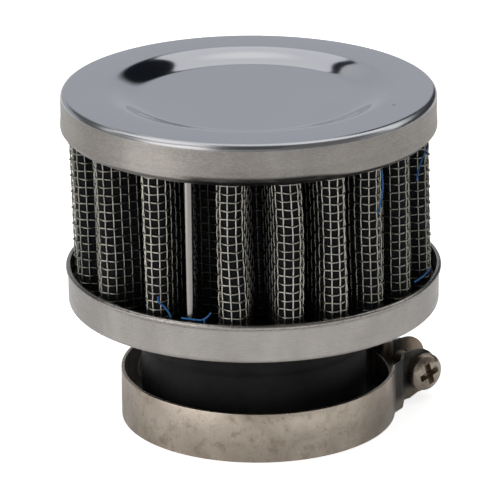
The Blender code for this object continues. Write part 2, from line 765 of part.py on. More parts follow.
def build_screw(material):
    """Pan head machine screw with a cross recess, its head just clear of the near ear."""
    head_seat = NEAR_EAR_AT - BAND_THICK / 2 - FIT
    place = screw_place(head_seat)
    shank = SCREW_SIZE / 2
    profile = [
        (shank * 0.7, -SCREW_LENGTH),
        (shank, -SCREW_LENGTH + shank * 0.3),
        (shank, 0.0),
        (HEAD_RADIUS, 0.0),
        (HEAD_RADIUS, HEAD_HEIGHT * 0.45),
        (HEAD_RADIUS * 0.87, HEAD_HEIGHT * 0.8),
        (HEAD_RADIUS * 0.58, HEAD_HEIGHT),
    ]
    screw = make_object("clamp_screw", turned(profile, closed=False, sides=24), material)
    screw.matrix_world = place
    cut(screw, build_recess_cutter(place))
    return screw


def build_nut(material):
    """Square nut behind the far ear."""
    bm = bmesh.new()
    bmesh.ops.create_cube(bm, size=1.0)
    bmesh.ops.scale(bm, vec=(NUT_SIDE, NUT_SIDE, NUT_THICK), verts=bm.verts)
    nut = make_object("clamp_nut", bm, material)
    nut.matrix_world = screw_place(NEAR_EAR_AT + EAR_SPACING + BAND_THICK / 2 + FIT + NUT_THICK / 2)
    return nut


def build_hole_cutter():
    """One long cylinder that drills both ears and the nut, a clearance larger than the screw."""
    profile = [(SCREW_SIZE / 2 + FIT, -SCREW_LENGTH), (SCREW_SIZE / 2 + FIT, HEAD_RADIUS)]
    bore = make_object("cutter_screw_hole", turned(profile, closed=False, sides=16), bpy.data.materials["cutter"])
    bore.matrix_world = screw_place(NEAR_EAR_AT)
    return as_cutter(bore)


def build_filter():
    clear_scene()
    polished = make_material("polished_stainless", (0.62, 0.63, 0.65), 0.12, 1.0)
    brushed = make_material("brushed_stainless", (0.56, 0.54, 0.51), 0.32, 1.0)
    wire = make_material("screen_wire", (0.55, 0.54, 0.48), 0.35, 1.0)
    gauze = make_material("black_gauze", (0.02, 0.022, 0.028), 0.9, 0.0)
    resin = make_material("black_resin", (0.03, 0.03, 0.03), 0.6, 0.0)
    rubber = make_material("black_rubber", (0.025, 0.025, 0.025), 0.55, 0.0)
    clamp = make_material("clamp_stainless", (0.5, 0.46, 0.42), 0.3, 1.0)

    outline = pleat_outline()
    gauze_face = SCREEN_THICK + FIT
    backing_face = gauze_face + GAUZE_THICK + FIT
    build_cap(polished)
    build_cap_resin(resin)
    build_screen("outer_screen", wire, outline)
    build_layer("filter_gauze", gauze, outline, gauze_face, gauze_face + GAUZE_THICK)
    build_layer("inner_screen", wire, outline, backing_face, backing_face + SCREEN_THICK)
    build_seam_clip(brushed)
    build_base_resin(resin)
    build_pan(brushed)
    build_neck(rubber)
    band = build_band(clamp)
    build_tongue(clamp)
    build_screw(clamp)
    nut = build_nut(clamp)
    bore = build_hole_cutter()
    cut(band, bore)
    cut(nut, bore)


build_filter()
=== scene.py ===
# %% [markdown]
# # A pod air filter for a motorcycle
#
# A pod filter is a ring of folded wire cloth and oiled gauze, cast in resin between a pressed cap and a
# shallow pan. A rubber neck hangs under the pan and a screw clamp lies loose round the neck. The packed
# model gives every solid its size and place. This lesson dresses it: the parts that need finer curves are
# turned again with more steps, the wire cloth is woven wire by wire, and each surface gets its own finish.

import math

import bmesh
import bpy
from mathutils import Matrix, Vector


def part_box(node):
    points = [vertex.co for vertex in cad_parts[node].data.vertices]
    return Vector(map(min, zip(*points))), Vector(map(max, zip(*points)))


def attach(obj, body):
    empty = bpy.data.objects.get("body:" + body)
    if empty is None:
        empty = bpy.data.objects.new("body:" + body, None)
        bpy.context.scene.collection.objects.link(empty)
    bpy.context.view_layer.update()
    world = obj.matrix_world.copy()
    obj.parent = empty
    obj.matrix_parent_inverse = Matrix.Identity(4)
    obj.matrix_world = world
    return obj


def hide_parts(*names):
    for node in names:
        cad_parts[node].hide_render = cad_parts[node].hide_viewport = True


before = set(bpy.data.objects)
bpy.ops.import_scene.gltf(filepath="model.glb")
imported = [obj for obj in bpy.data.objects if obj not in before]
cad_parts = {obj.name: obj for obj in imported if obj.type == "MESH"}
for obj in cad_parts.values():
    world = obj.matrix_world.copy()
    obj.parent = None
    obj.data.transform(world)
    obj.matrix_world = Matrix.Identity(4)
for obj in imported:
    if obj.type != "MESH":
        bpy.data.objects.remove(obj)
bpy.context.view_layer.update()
MM = 0.001
print("packed nodes:", sorted(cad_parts))

# %% [markdown]
# ## Camera
#
# The photograph was taken with a long lens from about 70 cm away, looking down by 20 degrees, so the cap's
# rim shows as a flat ellipse. The camera here stands at the same place. Its turn is built from three plain
# turns: up from the floor, a hair to the left, and a third of a degree of tilt.

# %% Camera at the photograph's place
CAMERA_BACK = 655.1 * MM
CAMERA_HIGH = 268.435 * MM
CAMERA_DOWN = 19.809
CAMERA_LEFT = 0.057
CAMERA_TILT = -0.309
LENS_LENGTH = 265.56
SENSOR_WIDTH = 36.0


def rotation(degrees, axis, size=4):
    """A turn about one axis, as a matrix."""
    return Matrix.Rotation(math.radians(degrees), size, axis)


def put_in_scene(name, data):
    """An object of a mesh, lamp or other data, linked to the scene."""
    made = bpy.data.objects.new(name, data)
    bpy.context.scene.collection.objects.link(made)
    return made


optics = bpy.data.cameras.new("photo_camera")
optics.lens = LENS_LENGTH
optics.sensor_width = SENSOR_WIDTH
optics.clip_start = 0.01
camera = put_in_scene("photo_camera", optics)
turn = rotation(CAMERA_LEFT, "Z") @ rotation(90.0 - CAMERA_DOWN, "X") @ rotation(CAMERA_TILT, "Z")
camera.matrix_world = Matrix.Translation((0.0, -CAMERA_BACK, CAMERA_HIGH)) @ turn
bpy.context.scene.camera = camera
bpy.context.scene.view_settings.view_transform = "Standard"
print("camera at", tuple(round(value, 4) for value in camera.matrix_world.translation))

# %% [markdown]
# ## Building finishes from nodes
#
# Every finish below is a Principled shader with a few textures in front of it. A few helpers keep that
# short: they add a node, fill or link its sockets, and mix colours by a texture. A value that is the same
# all over a surface is set on the shader itself, so it also survives an export.

# %% Helpers for finishes
def fill(node, sockets):
    """Fills or links a node's inputs; a colour of three values gets its alpha."""
    for socket, value in sockets.items():
        if isinstance(value, bpy.types.NodeSocket):
            node.id_data.links.new(value, node.inputs[socket])
        elif node.inputs[socket].type == "RGBA":
            node.inputs[socket].default_value = (*value, 1.0)
        else:
            node.inputs[socket].default_value = value


def add_node(tree, kind, sockets=None, **options):
    """Adds a node, sets its options, and fills its inputs."""
    made = tree.nodes.new(kind)
    for option, value in options.items():
        setattr(made, option, value)
    fill(made, sockets or {})
    return made


def calculate(tree, operation, *values):
    """One step of arithmetic on sockets or numbers."""
    return add_node(tree, "ShaderNodeMath", dict(enumerate(values)), operation=operation).outputs[0]


def spread(tree, value, low, high, to_low=0.0, to_high=1.0):
    """Maps a range of a texture to a range of a finish, with soft ends."""
    sockets = {"Value": value, "From Min": low, "From Max": high, "To Min": to_low, "To Max": to_high}
    return add_node(tree, "ShaderNodeMapRange", sockets, interpolation_type="SMOOTHSTEP").outputs["Result"]


def blend(tree, factor, first, second):
    """Mixes two colours, or two colour outputs, by a factor."""
    sockets = {"Factor": factor, 6: first, 7: second}
    return add_node(tree, "ShaderNodeMix", sockets, data_type="RGBA").outputs[2]


def mottle(tree, pattern, low, high, first, second, most=1.0):
    """Goes from one colour to another as a pattern rises from low to high."""
    return blend(tree, spread(tree, pattern, low, high, 0.0, most), first, second)


def new_finish(name, colour, roughness, metallic):
    """A Principled finish with plain values, ready for textures."""
    material = bpy.data.materials.new(name)
    material.use_nodes = True
    shader = material.node_tree.nodes["Principled BSDF"]
    fill(shader, {"Base Color": colour, "Roughness": roughness, "Metallic": metallic})
    return material, material.node_tree, shader


# %% [markdown]
# A pattern needs to know where on the part it is. Object coordinates tell that, and they move with the
# part. Noise reads them in metres, so that its scale is a count of lumps a metre, and the helpers that
# measure a place give millimetres.

# %% Places and patterns on a part
def object_place(tree, scale=(1 / MM, 1 / MM, 1 / MM), shift=0.0):
    """Object coordinates, in millimetres unless another scale is given, moved along X."""
    place = add_node(tree, "ShaderNodeTexCoord").outputs["Object"]
    sockets = {"Vector": place, "Location": (-shift, 0.0, 0.0), "Scale": scale}
    return add_node(tree, "ShaderNodeMapping", sockets).outputs["Vector"]


def along(tree, axis):
    """Millimetres along X, Y or Z."""
    return add_node(tree, "ShaderNodeSeparateXYZ", {"Vector": object_place(tree)}).outputs[axis]


def from_axis(tree, shift=0.0):
    """Millimetres from an upright axis, for finishes that change across a turned part."""
    flat = object_place(tree, (1 / MM, 1 / MM, 0.0), shift)
    return add_node(tree, "ShaderNodeVectorMath", {0: flat}, operation="LENGTH").outputs["Value"]


def at_sides(tree, start, end, most):
    """Grows from nought to its most between two distances, both to the left and to the right."""
    return spread(tree, calculate(tree, "ABSOLUTE", along(tree, "X")), start, end, 0.0, most)


def noise(tree, across, upwards, detail=4.0, roughness=0.5, distortion=0.0):
    """Noise from 0 to 1, with its lumps a metre along X and Y and along Z."""
    sockets = {"Vector": object_place(tree, (across, across, upwards)), "Scale": 1.0, "Detail": detail}
    sockets |= {"Roughness": roughness, "Distortion": distortion}
    return add_node(tree, "ShaderNodeTexNoise", sockets).outputs["Fac"]


def raise_bumps(tree, shader, height, distance, strength):
    """Turns a texture into small bumps, with their height in millimetres."""
    sockets = {"Height": height, "Distance": distance * MM, "Strength": strength}
    fill(shader, {"Normal": add_node(tree, "ShaderNodeBump", sockets).outputs["Normal"]})


# %% [markdown]
# ## Studio: floor, sky and lamps
#
# Polished sheet shows what stands around it, so the room matters as much as the metal. The photograph tells
# what the room was: the flat top mirrors an even grey wall, the far slope of the dish mirrors a bright panel
# with sharp sides, and the rounded edge of the cap shows a dark line between that panel and the pale table.
# A sky of plain bands does this better than lamps alone. The bands follow one angle, from the wall behind
# the filter over the ceiling to the wall behind the camera.

# %% The room as bands of grey
SKY_BANDS = (
    (0.00, (0.50, 0.515, 0.55)),
    (0.15, (0.50, 0.515, 0.55)),
    (0.22, (0.60, 0.60, 0.61)),
    (0.40, (0.60, 0.60, 0.60)),
    (0.50, (0.16, 0.16, 0.16)),
    (0.60, (0.08, 0.08, 0.08)),
    (0.80, (0.10, 0.10, 0.10)),
    (0.87, (0.36, 0.355, 0.35)),
    (0.93, (0.30, 0.295, 0.285)),
    (1.00, (0.20, 0.195, 0.19)),
)
room = bpy.data.worlds.new("studio_room")
bpy.context.scene.world = room
room.use_nodes = True
sky = room.node_tree
sky_place = add_node(sky, "ShaderNodeTexCoord").outputs["Generated"]
sky_axes = add_node(sky, "ShaderNodeSeparateXYZ", {"Vector": sky_place}).outputs
sky_share = calculate(sky, "DIVIDE", calculate(sky, "ARCTAN2", sky_axes["Z"], sky_axes["Y"]), math.pi)
bands = add_node(sky, "ShaderNodeValToRGB", {"Fac": sky_share})
while len(bands.color_ramp.elements) < len(SKY_BANDS):
    bands.color_ramp.elements.new(0.5)
for element, (position, colour) in zip(bands.color_ramp.elements, SKY_BANDS):
    element.position = position
    element.color = (*colour, 1.0)
print("sky bands:", len(SKY_BANDS))

# %% [markdown]
# The rest of the room hangs in that sky as plain panels: walls and a window at the sides, bright ceilings,
# the far panel behind the filter, and the dark screens beside it. Each is held between the limits of two or
# three measures: the side, from left to right, the band, and a fan that opens upwards, because the sides of
# the far panel spread like a fan in the dish. Their edges are crisp or soft as the metal shows them, and
# where two overlap, the later one lies on top.

# %% Panels and screens in the sky
FAN_FOOT = 0.415
PANELS = {
    "left wall": ({"side": (-1.2, -0.27, 0.05), "band": (0.55, 0.74, 0.03)}, (0.72, 0.705, 0.69)),
    "left window": ({"side": (-0.9, -0.38, 0.08), "band": (0.70, 0.995, 0.04)}, (1.5, 1.46, 1.4)),
    "left end": ({"side": (-1.2, -0.84, 0.06), "band": (0.0, 0.26, 0.04)}, (0.13, 0.13, 0.13)),
    "left side": ({"side": (-1.2, -0.88, 0.05), "band": (0.3, 0.8, 0.05)}, (0.33, 0.33, 0.33)),
    "right wall": ({"side": (0.28, 1.2, 0.04), "band": (0.53, 0.90, 0.03)}, (0.17, 0.165, 0.16)),
    "right end": ({"side": (0.84, 1.2, 0.06), "band": (0.0, 0.26, 0.04)}, (0.10, 0.10, 0.10)),
    "right side": ({"side": (0.88, 1.2, 0.05), "band": (0.3, 0.8, 0.05)}, (0.32, 0.32, 0.32)),
    "ceiling": ({"side": (-0.95, 0.95, 0.03), "band": (0.275, 0.405, 0.02)}, (1.1, 1.09, 1.07)),
    "left ceiling": ({"side": (-0.66, -0.2, 0.06), "band": (0.30, 0.575, 0.03)}, (1.3, 1.28, 1.25)),
    "right ceiling": ({"side": (0.14, 0.55, 0.06), "band": (0.29, 0.475, 0.03)}, (1.15, 1.14, 1.12)),
    "far panel": ({"fan": (-0.84, 0.67, 0.02), "band": (0.165, 0.31, 0.02)}, (0.86, 0.86, 0.88)),
    "black screen": (
        {"fan": (0.67, 60.0, 0.02), "side": (0.0, 0.31, 0.015), "band": (0.142, 0.30, 0.016)},
        (0.010, 0.012, 0.016),
    ),
    "right screen": ({"side": (0.28, 0.95, 0.02), "band": (0.0, 0.215, 0.02)}, (0.05, 0.052, 0.056)),
    "left screen": ({"side": (-1.0, -0.42, 0.1), "band": (0.12, 0.345, 0.04)}, (0.12, 0.12, 0.125)),
    "window bar": ({"fan": (-1.07, -0.84, 0.025), "band": (0.17, 0.34, 0.02)}, (0.012, 0.016, 0.024)),
}


def within(value, low, high, soft):
    """One between two limits of a value, nought outside, with soft edges."""
    rising = spread(sky, value, low - soft, low + soft)
    falling = spread(sky, value, high - soft, high + soft, 1.0, 0.0)
    return calculate(sky, "MULTIPLY", rising, falling)


fan_height = calculate(sky, "MAXIMUM", calculate(sky, "SUBTRACT", sky_axes["Z"], FAN_FOOT), 0.01)
fan = calculate(sky, "DIVIDE", sky_axes["X"], fan_height)
measures = {"side": sky_axes["X"], "band": sky_share, "fan": fan}
room_colour = bands.outputs["Color"]
for limits, colour in PANELS.values():
    cover = 1.0
    for measure, reach in limits.items():
        cover = calculate(sky, "MULTIPLY", within(measures[measure], *reach), cover)
    room_colour = blend(sky, cover, room_colour, colour)
fill(sky.nodes["Background"], {"Color": room_colour, "Strength": 1.0})
print("panels:", ", ".join(PANELS))

# %% [markdown]
# The table is a wide sheet of white card. It has to look white to the camera and in the metal, and still take
# the filter's soft shadow, so it is a plain diffuse card with some light of its own for those two. Inside the
# clamp it has none and is painted dark as shade, but for its left end, so that the gap between clamp and neck
# stays dark.

# %% Finish of the white card
WHITE = (0.86, 0.86, 0.86)
CLAMP_SHIFT = 0.85
card, tree, shader = new_finish("white_card", WHITE, 0.9, 0.0)
rays = add_node(tree, "ShaderNodeLightPath").outputs
seen = calculate(tree, "MAXIMUM", rays["Is Camera Ray"], rays["Is Transmission Ray"])
mirrored = calculate(tree, "MULTIPLY", rays["Is Glossy Ray"], 0.13)
glow = calculate(tree, "MULTIPLY_ADD", seen, 0.72, mirrored)
outside = spread(tree, from_axis(tree, CLAMP_SHIFT), 25.6, 26.1)
# Painted shade: the card inside the clamp is dark, but for its left end.
painted_shade_in_clamp = blend(tree, spread(tree, along(tree, "X"), -12.0, -20.0), (0.05, 0.05, 0.05), WHITE)
fill(shader, {"Base Color": blend(tree, outside, painted_shade_in_clamp, WHITE), "Emission Color": (1.0, 1.0, 1.0)})
fill(shader, {"Emission Strength": calculate(tree, "MULTIPLY", glow, outside)})

# %% [markdown]
# Two soft lamps light the filter from above and from the front, and neither shows in the metal. A small
# glowing card hangs upright at the left, just above the table. The metal mirrors it, which lifts the left
# side of the cap's skirt, and the camera doesn't see it.

# %% Table, bounce card and two soft lamps
TABLE_RADIUS = 3.0
BOUNCE_SIZE = (0.11, 0.036, 1.0)
BOUNCE_PLACE = (-0.108, -0.088, 0.027)
BOUNCE_TURN = -60.0
LAMP_SIZE = 0.7
FILTER_MIDDLE = Vector((0.0, 0.0, 0.03))


def mesh_of(bm, name):
    """A mesh with what the bmesh holds; the bmesh goes."""
    mesh = bpy.data.meshes.new(name)
    bm.to_mesh(mesh)
    bm.free()
    return mesh


def soft_lamp(name, place, power):
    """A square lamp that points at the filter and shows in no mirror."""
    data = bpy.data.lights.new(name, "AREA")
    data.size = LAMP_SIZE
    data.energy = power
    lamp = put_in_scene(name, data)
    aimed = (FILTER_MIDDLE - Vector(place)).to_track_quat("-Z", "Y").to_matrix().to_4x4()
    lamp.matrix_world = Matrix.Translation(place) @ aimed
    lamp.visible_glossy = False


bm = bmesh.new()
bmesh.ops.create_circle(bm, cap_ends=True, segments=96, radius=TABLE_RADIUS)
table = put_in_scene("white_card", mesh_of(bm, "white_card"))
table.data.materials.append(card)

bounce, tree, shader = new_finish("bounce_card", (0.8, 0.8, 0.8), 0.9, 0.0)
fill(shader, {"Emission Color": (1.0, 0.98, 0.96), "Emission Strength": 1.25})
bm = bmesh.new()
bmesh.ops.create_grid(bm, x_segments=1, y_segments=1, size=0.5)
bmesh.ops.scale(bm, vec=BOUNCE_SIZE, verts=bm.verts)
upright = Matrix.Translation(BOUNCE_PLACE) @ rotation(BOUNCE_TURN, "Z") @ rotation(90.0, "X")
bmesh.ops.transform(bm, matrix=upright, verts=bm.verts)
standing = put_in_scene("bounce_card", mesh_of(bm, "bounce_card"))
standing.data.materials.append(bounce)
standing.visible_camera = False

soft_lamp("ceiling_lamp", (-0.15, 0.1, 0.9), 1.8)
soft_lamp("front_lamp", (0.1, -0.75, 0.7), 1.7)

# %% [markdown]
# ## Sizes shared by the pieces
#
# The wire cloth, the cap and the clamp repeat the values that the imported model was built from, in
# millimetres, because this file can't read that source. The heights stack up from the floor: neck, pan,
# resin, pleats, resin and cap.

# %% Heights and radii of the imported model
PAN_FLOOR = 23.1
PAN_RIM = 30.7
PLEATS_LOW = 27.6
PLEATS_HIGH = 58.5
CAP_TOP = 64.6
CAP_EDGE = 56.9
CAP_SHIFT = -0.755
SHEET_RADIUS = 35.05
NECK_RADIUS = 21.4
for node in ("top_cap", "outer_screen", "base_pan", "rubber_neck"):
    low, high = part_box(node)
    print(node, "from", round(low.z / MM, 2), "to", round(high.z / MM, 2), "mm")


# %% [markdown]
# Turned parts share one helper. It draws a section as a chain of edges beside the axis and spins it. With
# enough steps the highlight on the cap runs round without corners. A second helper gives every finished
# mesh its smooth shading and lets it ride with the filter.

# %% Spin a section into a ring
def ride_piece(name, mesh, finish, node=None, crease=40.0):
    """Links a mesh that is in place, with smooth rounds and sharp creases."""
    mesh.shade_smooth()
    mesh.set_sharp_from_angle(angle=math.radians(crease))
    piece = put_in_scene(name, mesh)
    piece.data.materials.clear()
    piece.data.materials.append(finish)
    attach(piece, "root")
    if node:
        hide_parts(node)
    mesh.calc_loop_triangles()
    print(name, "has", len(mesh.loop_triangles), "triangles")


def place_piece(bm, name, finish, node=None, crease=40.0):
    """Makes a piece of a finished bmesh in millimetres."""
    bmesh.ops.scale(bm, vec=(MM, MM, MM), verts=bm.verts)
    bmesh.ops.remove_doubles(bm, verts=bm.verts, dist=1e-7)
    bmesh.ops.recalc_face_normals(bm, faces=bm.faces)
    ride_piece(name, mesh_of(bm, name), finish, node, crease)


def spin_section(section, steps, shift=0.0, closed=True):
    """Spins points of (radius, height) round the vertical axis."""
    bm = bmesh.new()
    verts = [bm.verts.new((shift + radius, 0.0, height)) for radius, height in section]
    edges = [bm.edges.new(pair) for pair in zip(verts, verts[1:])]
    if closed:
        edges.append(bm.edges.new((verts[-1], verts[0])))
    bmesh.ops.spin(
        bm,
        geom=verts + edges,
        cent=(shift, 0.0, 0.0),
        axis=(0.0, 0.0, 1.0),
        angle=math.tau,
        steps=steps,
        use_merge=True,
    )
    open_edges = [edge for edge in bm.edges if edge.is_boundary]
    if open_edges:
        bmesh.ops.holes_fill(bm, edges=open_edges, sides=steps)
    return bm


def arc(centre_r, centre_z, radius, start, end, count):
    """Points (radius, height) along a round corner, in degrees."""
    points = []
    for step in range(count):
        turned = math.radians(start + (end - start) * step / (count - 1))
        points.append((centre_r + radius * math.cos(turned), centre_z + radius * math.sin(turned)))
    return points


def eased(share):
    """Half a cosine wave from 0 to 1, level at both ends."""
    return (1 - math.cos(math.pi * share)) / 2


# %% [markdown]
# ## Cap
#
# The cap is drawn from polished sheet: a round dish pressed into its top, a soft corner, and a skirt that
# was brushed and then rolled in over the pleats. One profile holds all of it. The slope of the dish is half
# a cosine wave, which starts and ends level, so its mirror image bends without a kink. The finish changes
# with height: polished above the corner, brushed and scratched in swirls below it, with painted shade in the
# curl, mostly at the front and the right.

# %% Finish of the cap, polished on top and brushed on the skirt
TOP_SPECK = (25.8, -11.3, CAP_TOP)
cap_finish, tree, shader = new_finish("polished_cap", (0.53, 0.54, 0.56), 0.08, 1.0)
height = along(tree, "Z")
sideways = along(tree, "X")
outside = spread(tree, from_axis(tree, CAP_SHIFT), 29.0, 31.0)
on_skirt = calculate(tree, "MULTIPLY", spread(tree, height, CAP_TOP - 0.75, CAP_TOP - 1.3), outside)
streaks = noise(tree, 90.0, 5200.0, 3.0, 0.6)
clouds = noise(tree, 70.0, 45.0, 5.0, 0.6, 0.6)
swirls = noise(tree, 800.0, 2600.0, 5.0, 0.65, 2.4)
curl_shade_noise = noise(tree, 130.0, 600.0, 5.0, 0.65, 0.4)
worn = mottle(tree, clouds, 0.3, 0.7, (0.245, 0.229, 0.214), (0.33, 0.311, 0.293))
scratched = mottle(tree, swirls, 0.42, 0.7, worn, (0.47, 0.445, 0.42), 0.55)
# Painted shade in the curl of the skirt: near black and patchy, strongest at the front and the right, faint
# at the left.
from_edge = calculate(tree, "ADD", height, spread(tree, sideways, 10.0, 20.0, 0.0, 0.8))
by_curl = spread(tree, from_edge, CAP_EDGE + 1.95, CAP_EDGE + 1.3)
to_the_right = spread(tree, sideways, -14.5, -9.5, 0.1, 1.0)
patchy_curl_shade = calculate(tree, "MULTIPLY", to_the_right, spread(tree, curl_shade_noise, 0.2, 0.55, 0.6, 1.0))
painted_curl_shade = calculate(tree, "MULTIPLY", patchy_curl_shade, by_curl)
skirt_colour = blend(tree, painted_curl_shade, scratched, (0.022, 0.021, 0.02))
smudged = mottle(tree, clouds, 0.4, 0.75, (0.535, 0.545, 0.575), (0.55, 0.56, 0.585))
speck = add_node(tree, "ShaderNodeVectorMath", {0: object_place(tree), 1: TOP_SPECK}, operation="DISTANCE")
in_speck = spread(tree, speck.outputs["Value"], 0.22, 0.42, 0.6, 0.0)
top_colour = blend(tree, in_speck, smudged, (0.05, 0.05, 0.06))
top_rough = spread(tree, from_axis(tree, CAP_SHIFT), 33.7, 34.3, 0.07, 0.2)
skirt_rough = spread(tree, streaks, 0.3, 0.7, 0.3, 0.42)
rough = add_node(tree, "ShaderNodeMix", {"Factor": on_skirt, "A": top_rough, "B": skirt_rough})
fill(shader, {"Base Color": blend(tree, on_skirt, top_colour, skirt_colour)})
fill(shader, {"Roughness": rough.outputs["Result"]})
raise_bumps(tree, shader, calculate(tree, "MULTIPLY", streaks, on_skirt), 0.03, 0.7)

# %% Turn the cap
DISC_RADIUS = 20.0
DISH_RADIUS = 27.4
DISH_DEPTH = 1.8
CAP_CORNER = 1.25
SHEET = 0.5
CAP_SWELL = 0.12

cap_section = []
for step in range(21):
    share = step / 20
    radius = DISC_RADIUS + (DISH_RADIUS - DISC_RADIUS) * share
    cap_section.append((radius, CAP_TOP - DISH_DEPTH * (1 - eased(share))))
cap_section.append((30.5, CAP_TOP))
cap_section += arc(SHEET_RADIUS - CAP_CORNER, CAP_TOP - CAP_CORNER, CAP_CORNER, 90, 0, 15)
for step in range(9):
    share = step / 8
    cap_section.append((SHEET_RADIUS + CAP_SWELL * eased(share), CAP_EDGE + 3.4 - 2.3 * share))
cap_section += arc(SHEET_RADIUS + CAP_SWELL - 0.5, CAP_EDGE + 1.1, 0.5, 0, -52, 7)[1:]
cap_section += [(34.4, CAP_EDGE + 0.03), (34.2, CAP_EDGE), (34.15, CAP_EDGE + 0.35)]
cap_section += [(34.45, CAP_EDGE + 2.7), (SHEET_RADIUS - SHEET, CAP_EDGE + 3.4)]
cap_section += arc(SHEET_RADIUS - CAP_CORNER, CAP_TOP - CAP_CORNER, CAP_CORNER - SHEET, 0, 90, 7)
cap_section += [(DISH_RADIUS, CAP_TOP - SHEET), (DISC_RADIUS, CAP_TOP - DISH_DEPTH - SHEET)]
cap = spin_section(cap_section, 180, shift=CAP_SHIFT, closed=False)
place_piece(cap, "pressed_cap", cap_finish, "top_cap")

# %% [markdown]
# ## Pan
#
# The pan is the same sheet, left satin. Its rim is rolled into a thin bead, scuffed where the press let go of
# it, with a few dark specks of dirt, and painted shade makes its sides a little darker than its front.

# %% Finish of the pan
pan_finish, tree, shader = new_finish("satin_pan", (0.42, 0.4, 0.38), 0.3, 1.0)
streaks = noise(tree, 80.0, 4200.0, 3.0, 0.6)
clouds = noise(tree, 85.0, 60.0, 5.0, 0.6, 0.4)
scuffs = noise(tree, 1500.0, 2400.0, 4.0, 0.7)
near_rim = spread(tree, along(tree, "Z"), PAN_RIM - 1.9, PAN_RIM - 0.2)
scuffed = calculate(tree, "MULTIPLY", spread(tree, scuffs, 0.46, 0.66, 0.0, 0.75), near_rim)
satin = mottle(tree, clouds, 0.3, 0.7, (0.37, 0.35, 0.331), (0.465, 0.443, 0.422))
# Painted shade: the satin is darker towards both sides.
satin = blend(tree, at_sides(tree, 26.0, 33.0, 0.5), satin, (0.2, 0.19, 0.18))
fill(shader, {"Base Color": blend(tree, scuffed, satin, (0.14, 0.13, 0.12))})
fill(shader, {"Roughness": spread(tree, streaks, 0.3, 0.7, 0.22, 0.34)})
raise_bumps(tree, shader, streaks, 0.015, 0.4)

# %% Turn the pan
PAN_HOLE = 22.4
PAN_CORNER = 0.9
pan_section = [(PAN_HOLE, PAN_FLOOR)]
pan_section += arc(SHEET_RADIUS - PAN_CORNER, PAN_FLOOR + PAN_CORNER, PAN_CORNER, -90, 0, 8)
pan_section += [(SHEET_RADIUS, PAN_RIM - 1.5), (SHEET_RADIUS + 0.08, PAN_RIM - 1.2)]
pan_section += arc(SHEET_RADIUS - 0.12, PAN_RIM - 0.6, 0.52, -50, 90, 9)
pan_section += [(SHEET_RADIUS - 0.42, PAN_RIM - 0.12), (SHEET_RADIUS - SHEET, PAN_RIM - 0.5)]
pan_section += [(SHEET_RADIUS - SHEET, PAN_FLOOR + SHEET), (PAN_HOLE, PAN_FLOOR + SHEET)]
place_piece(spin_section(pan_section, 180), "pressed_pan", pan_finish, "base_pan")

# %% [markdown]
# ## Rubber neck
#
# The neck is moulded rubber, matt and nearly black. It has a plain sleeve and a slightly thicker collar under
# the pan. Rubber of this kind shows a faint bloom and dust more than gloss, so its roughness is high and a
# soft noise lightens it a little.

# %% Finish of the rubber
rubber_finish, tree, shader = new_finish("moulded_rubber", (0.012, 0.012, 0.013), 0.6, 0.0)
bloom = noise(tree, 110.0, 90.0, 5.0, 0.6)
grain = noise(tree, 2600.0, 2600.0, 3.0, 0.6)
fill(shader, {"Base Color": mottle(tree, bloom, 0.35, 0.7, (0.006, 0.006, 0.007), (0.013, 0.013, 0.014))})
fill(shader, {"Roughness": spread(tree, grain, 0.3, 0.7, 0.48, 0.68), "Specular IOR Level": 0.18})
raise_bumps(tree, shader, grain, 0.03, 0.5)

# %% Turn the neck
BORE = 19.0
COLLAR = 0.5
neck_section = [(BORE, 0.4)]
neck_section += arc(BORE + 0.4, 0.4, 0.4, 180, 270, 4)[1:]
neck_section += arc(NECK_RADIUS - 0.6, 0.6, 0.6, -90, 0, 6)
neck_section += [(NECK_RADIUS + COLLAR * eased(step / 6), 14.6 + 2.2 * step / 6) for step in range(7)]
neck_section += [(NECK_RADIUS + COLLAR, 20.8), (NECK_RADIUS + 0.6, 21.0)]
neck_section += arc(NECK_RADIUS + 1.6, 21.4, 0.4, -90, 0, 4)
neck_section += [(NECK_RADIUS + 2.0, 22.8), (NECK_RADIUS + 0.7, 22.8), (NECK_RADIUS + 0.7, 23.9)]
neck_section += [(NECK_RADIUS + 3.0, 23.9), (NECK_RADIUS + 3.0, 25.5), (BORE, 25.5)]
place_piece(spin_section(neck_section, 144), "moulded_neck", rubber_finish, "rubber_neck")

# %% [markdown]
# ## The folds
#
# The wire cloth, the gauze and the inner cloth are folded together, so they follow one line seen from above.
# The line is made of round crests, round valley floors and the straight flanks between them. At the front
# the crests stand where the photograph shows them, and behind they are even. In the widest valley the two
# ends of the cloth stand out side by side as a fin.

# %% Crests and valleys
CREST_RADIUS = 33.69
CREST_BEND = 2.44
VALLEY_RADIUS = 24.35
VALLEY_BEND = 0.96
FRONT_CRESTS = (-75.0, -55.7, -33.0, -6.4, 12.3, 27.8, 42.8, 58.0, 79.0)
BACK_CRESTS = 11
WIDE_VALLEY = 24.0
WIDE_SIDE = 7.0
SEAM_ANGLE = -19.6
SEAM_TURN = -5.0
SEAM_RADIUS = 33.0
FIN_GAP = 0.5


def from_front(degrees, radius):
    """A point seen from above, at an angle from the front towards +X."""
    turned = math.radians(degrees)
    return Vector((radius * math.sin(turned), -radius * math.cos(turned)))


def around(centre, radius, turned):
    """A point on a circle, at an angle from +X in radians."""
    return centre + Vector((math.cos(turned), math.sin(turned))) * radius


def bend_points(centre, radius, start, end, clockwise):
    """Points round a bend, about ten degrees apart."""
    span = (start - end) % math.tau if clockwise else (end - start) % math.tau
    count = max(2, round(math.degrees(span) / 10.0) + 1)
    step = (-span if clockwise else span) / (count - 1)
    return [around(centre, radius, start + step * index) for index in range(count)]


def flank_turn(crest, valley, side):
    """Direction from a crest's centre to where its bend ends and the flank begins."""
    across = valley - crest
    lean = math.acos((CREST_BEND + VALLEY_BEND) / across.length)
    return math.atan2(across.y, across.x) - side * lean


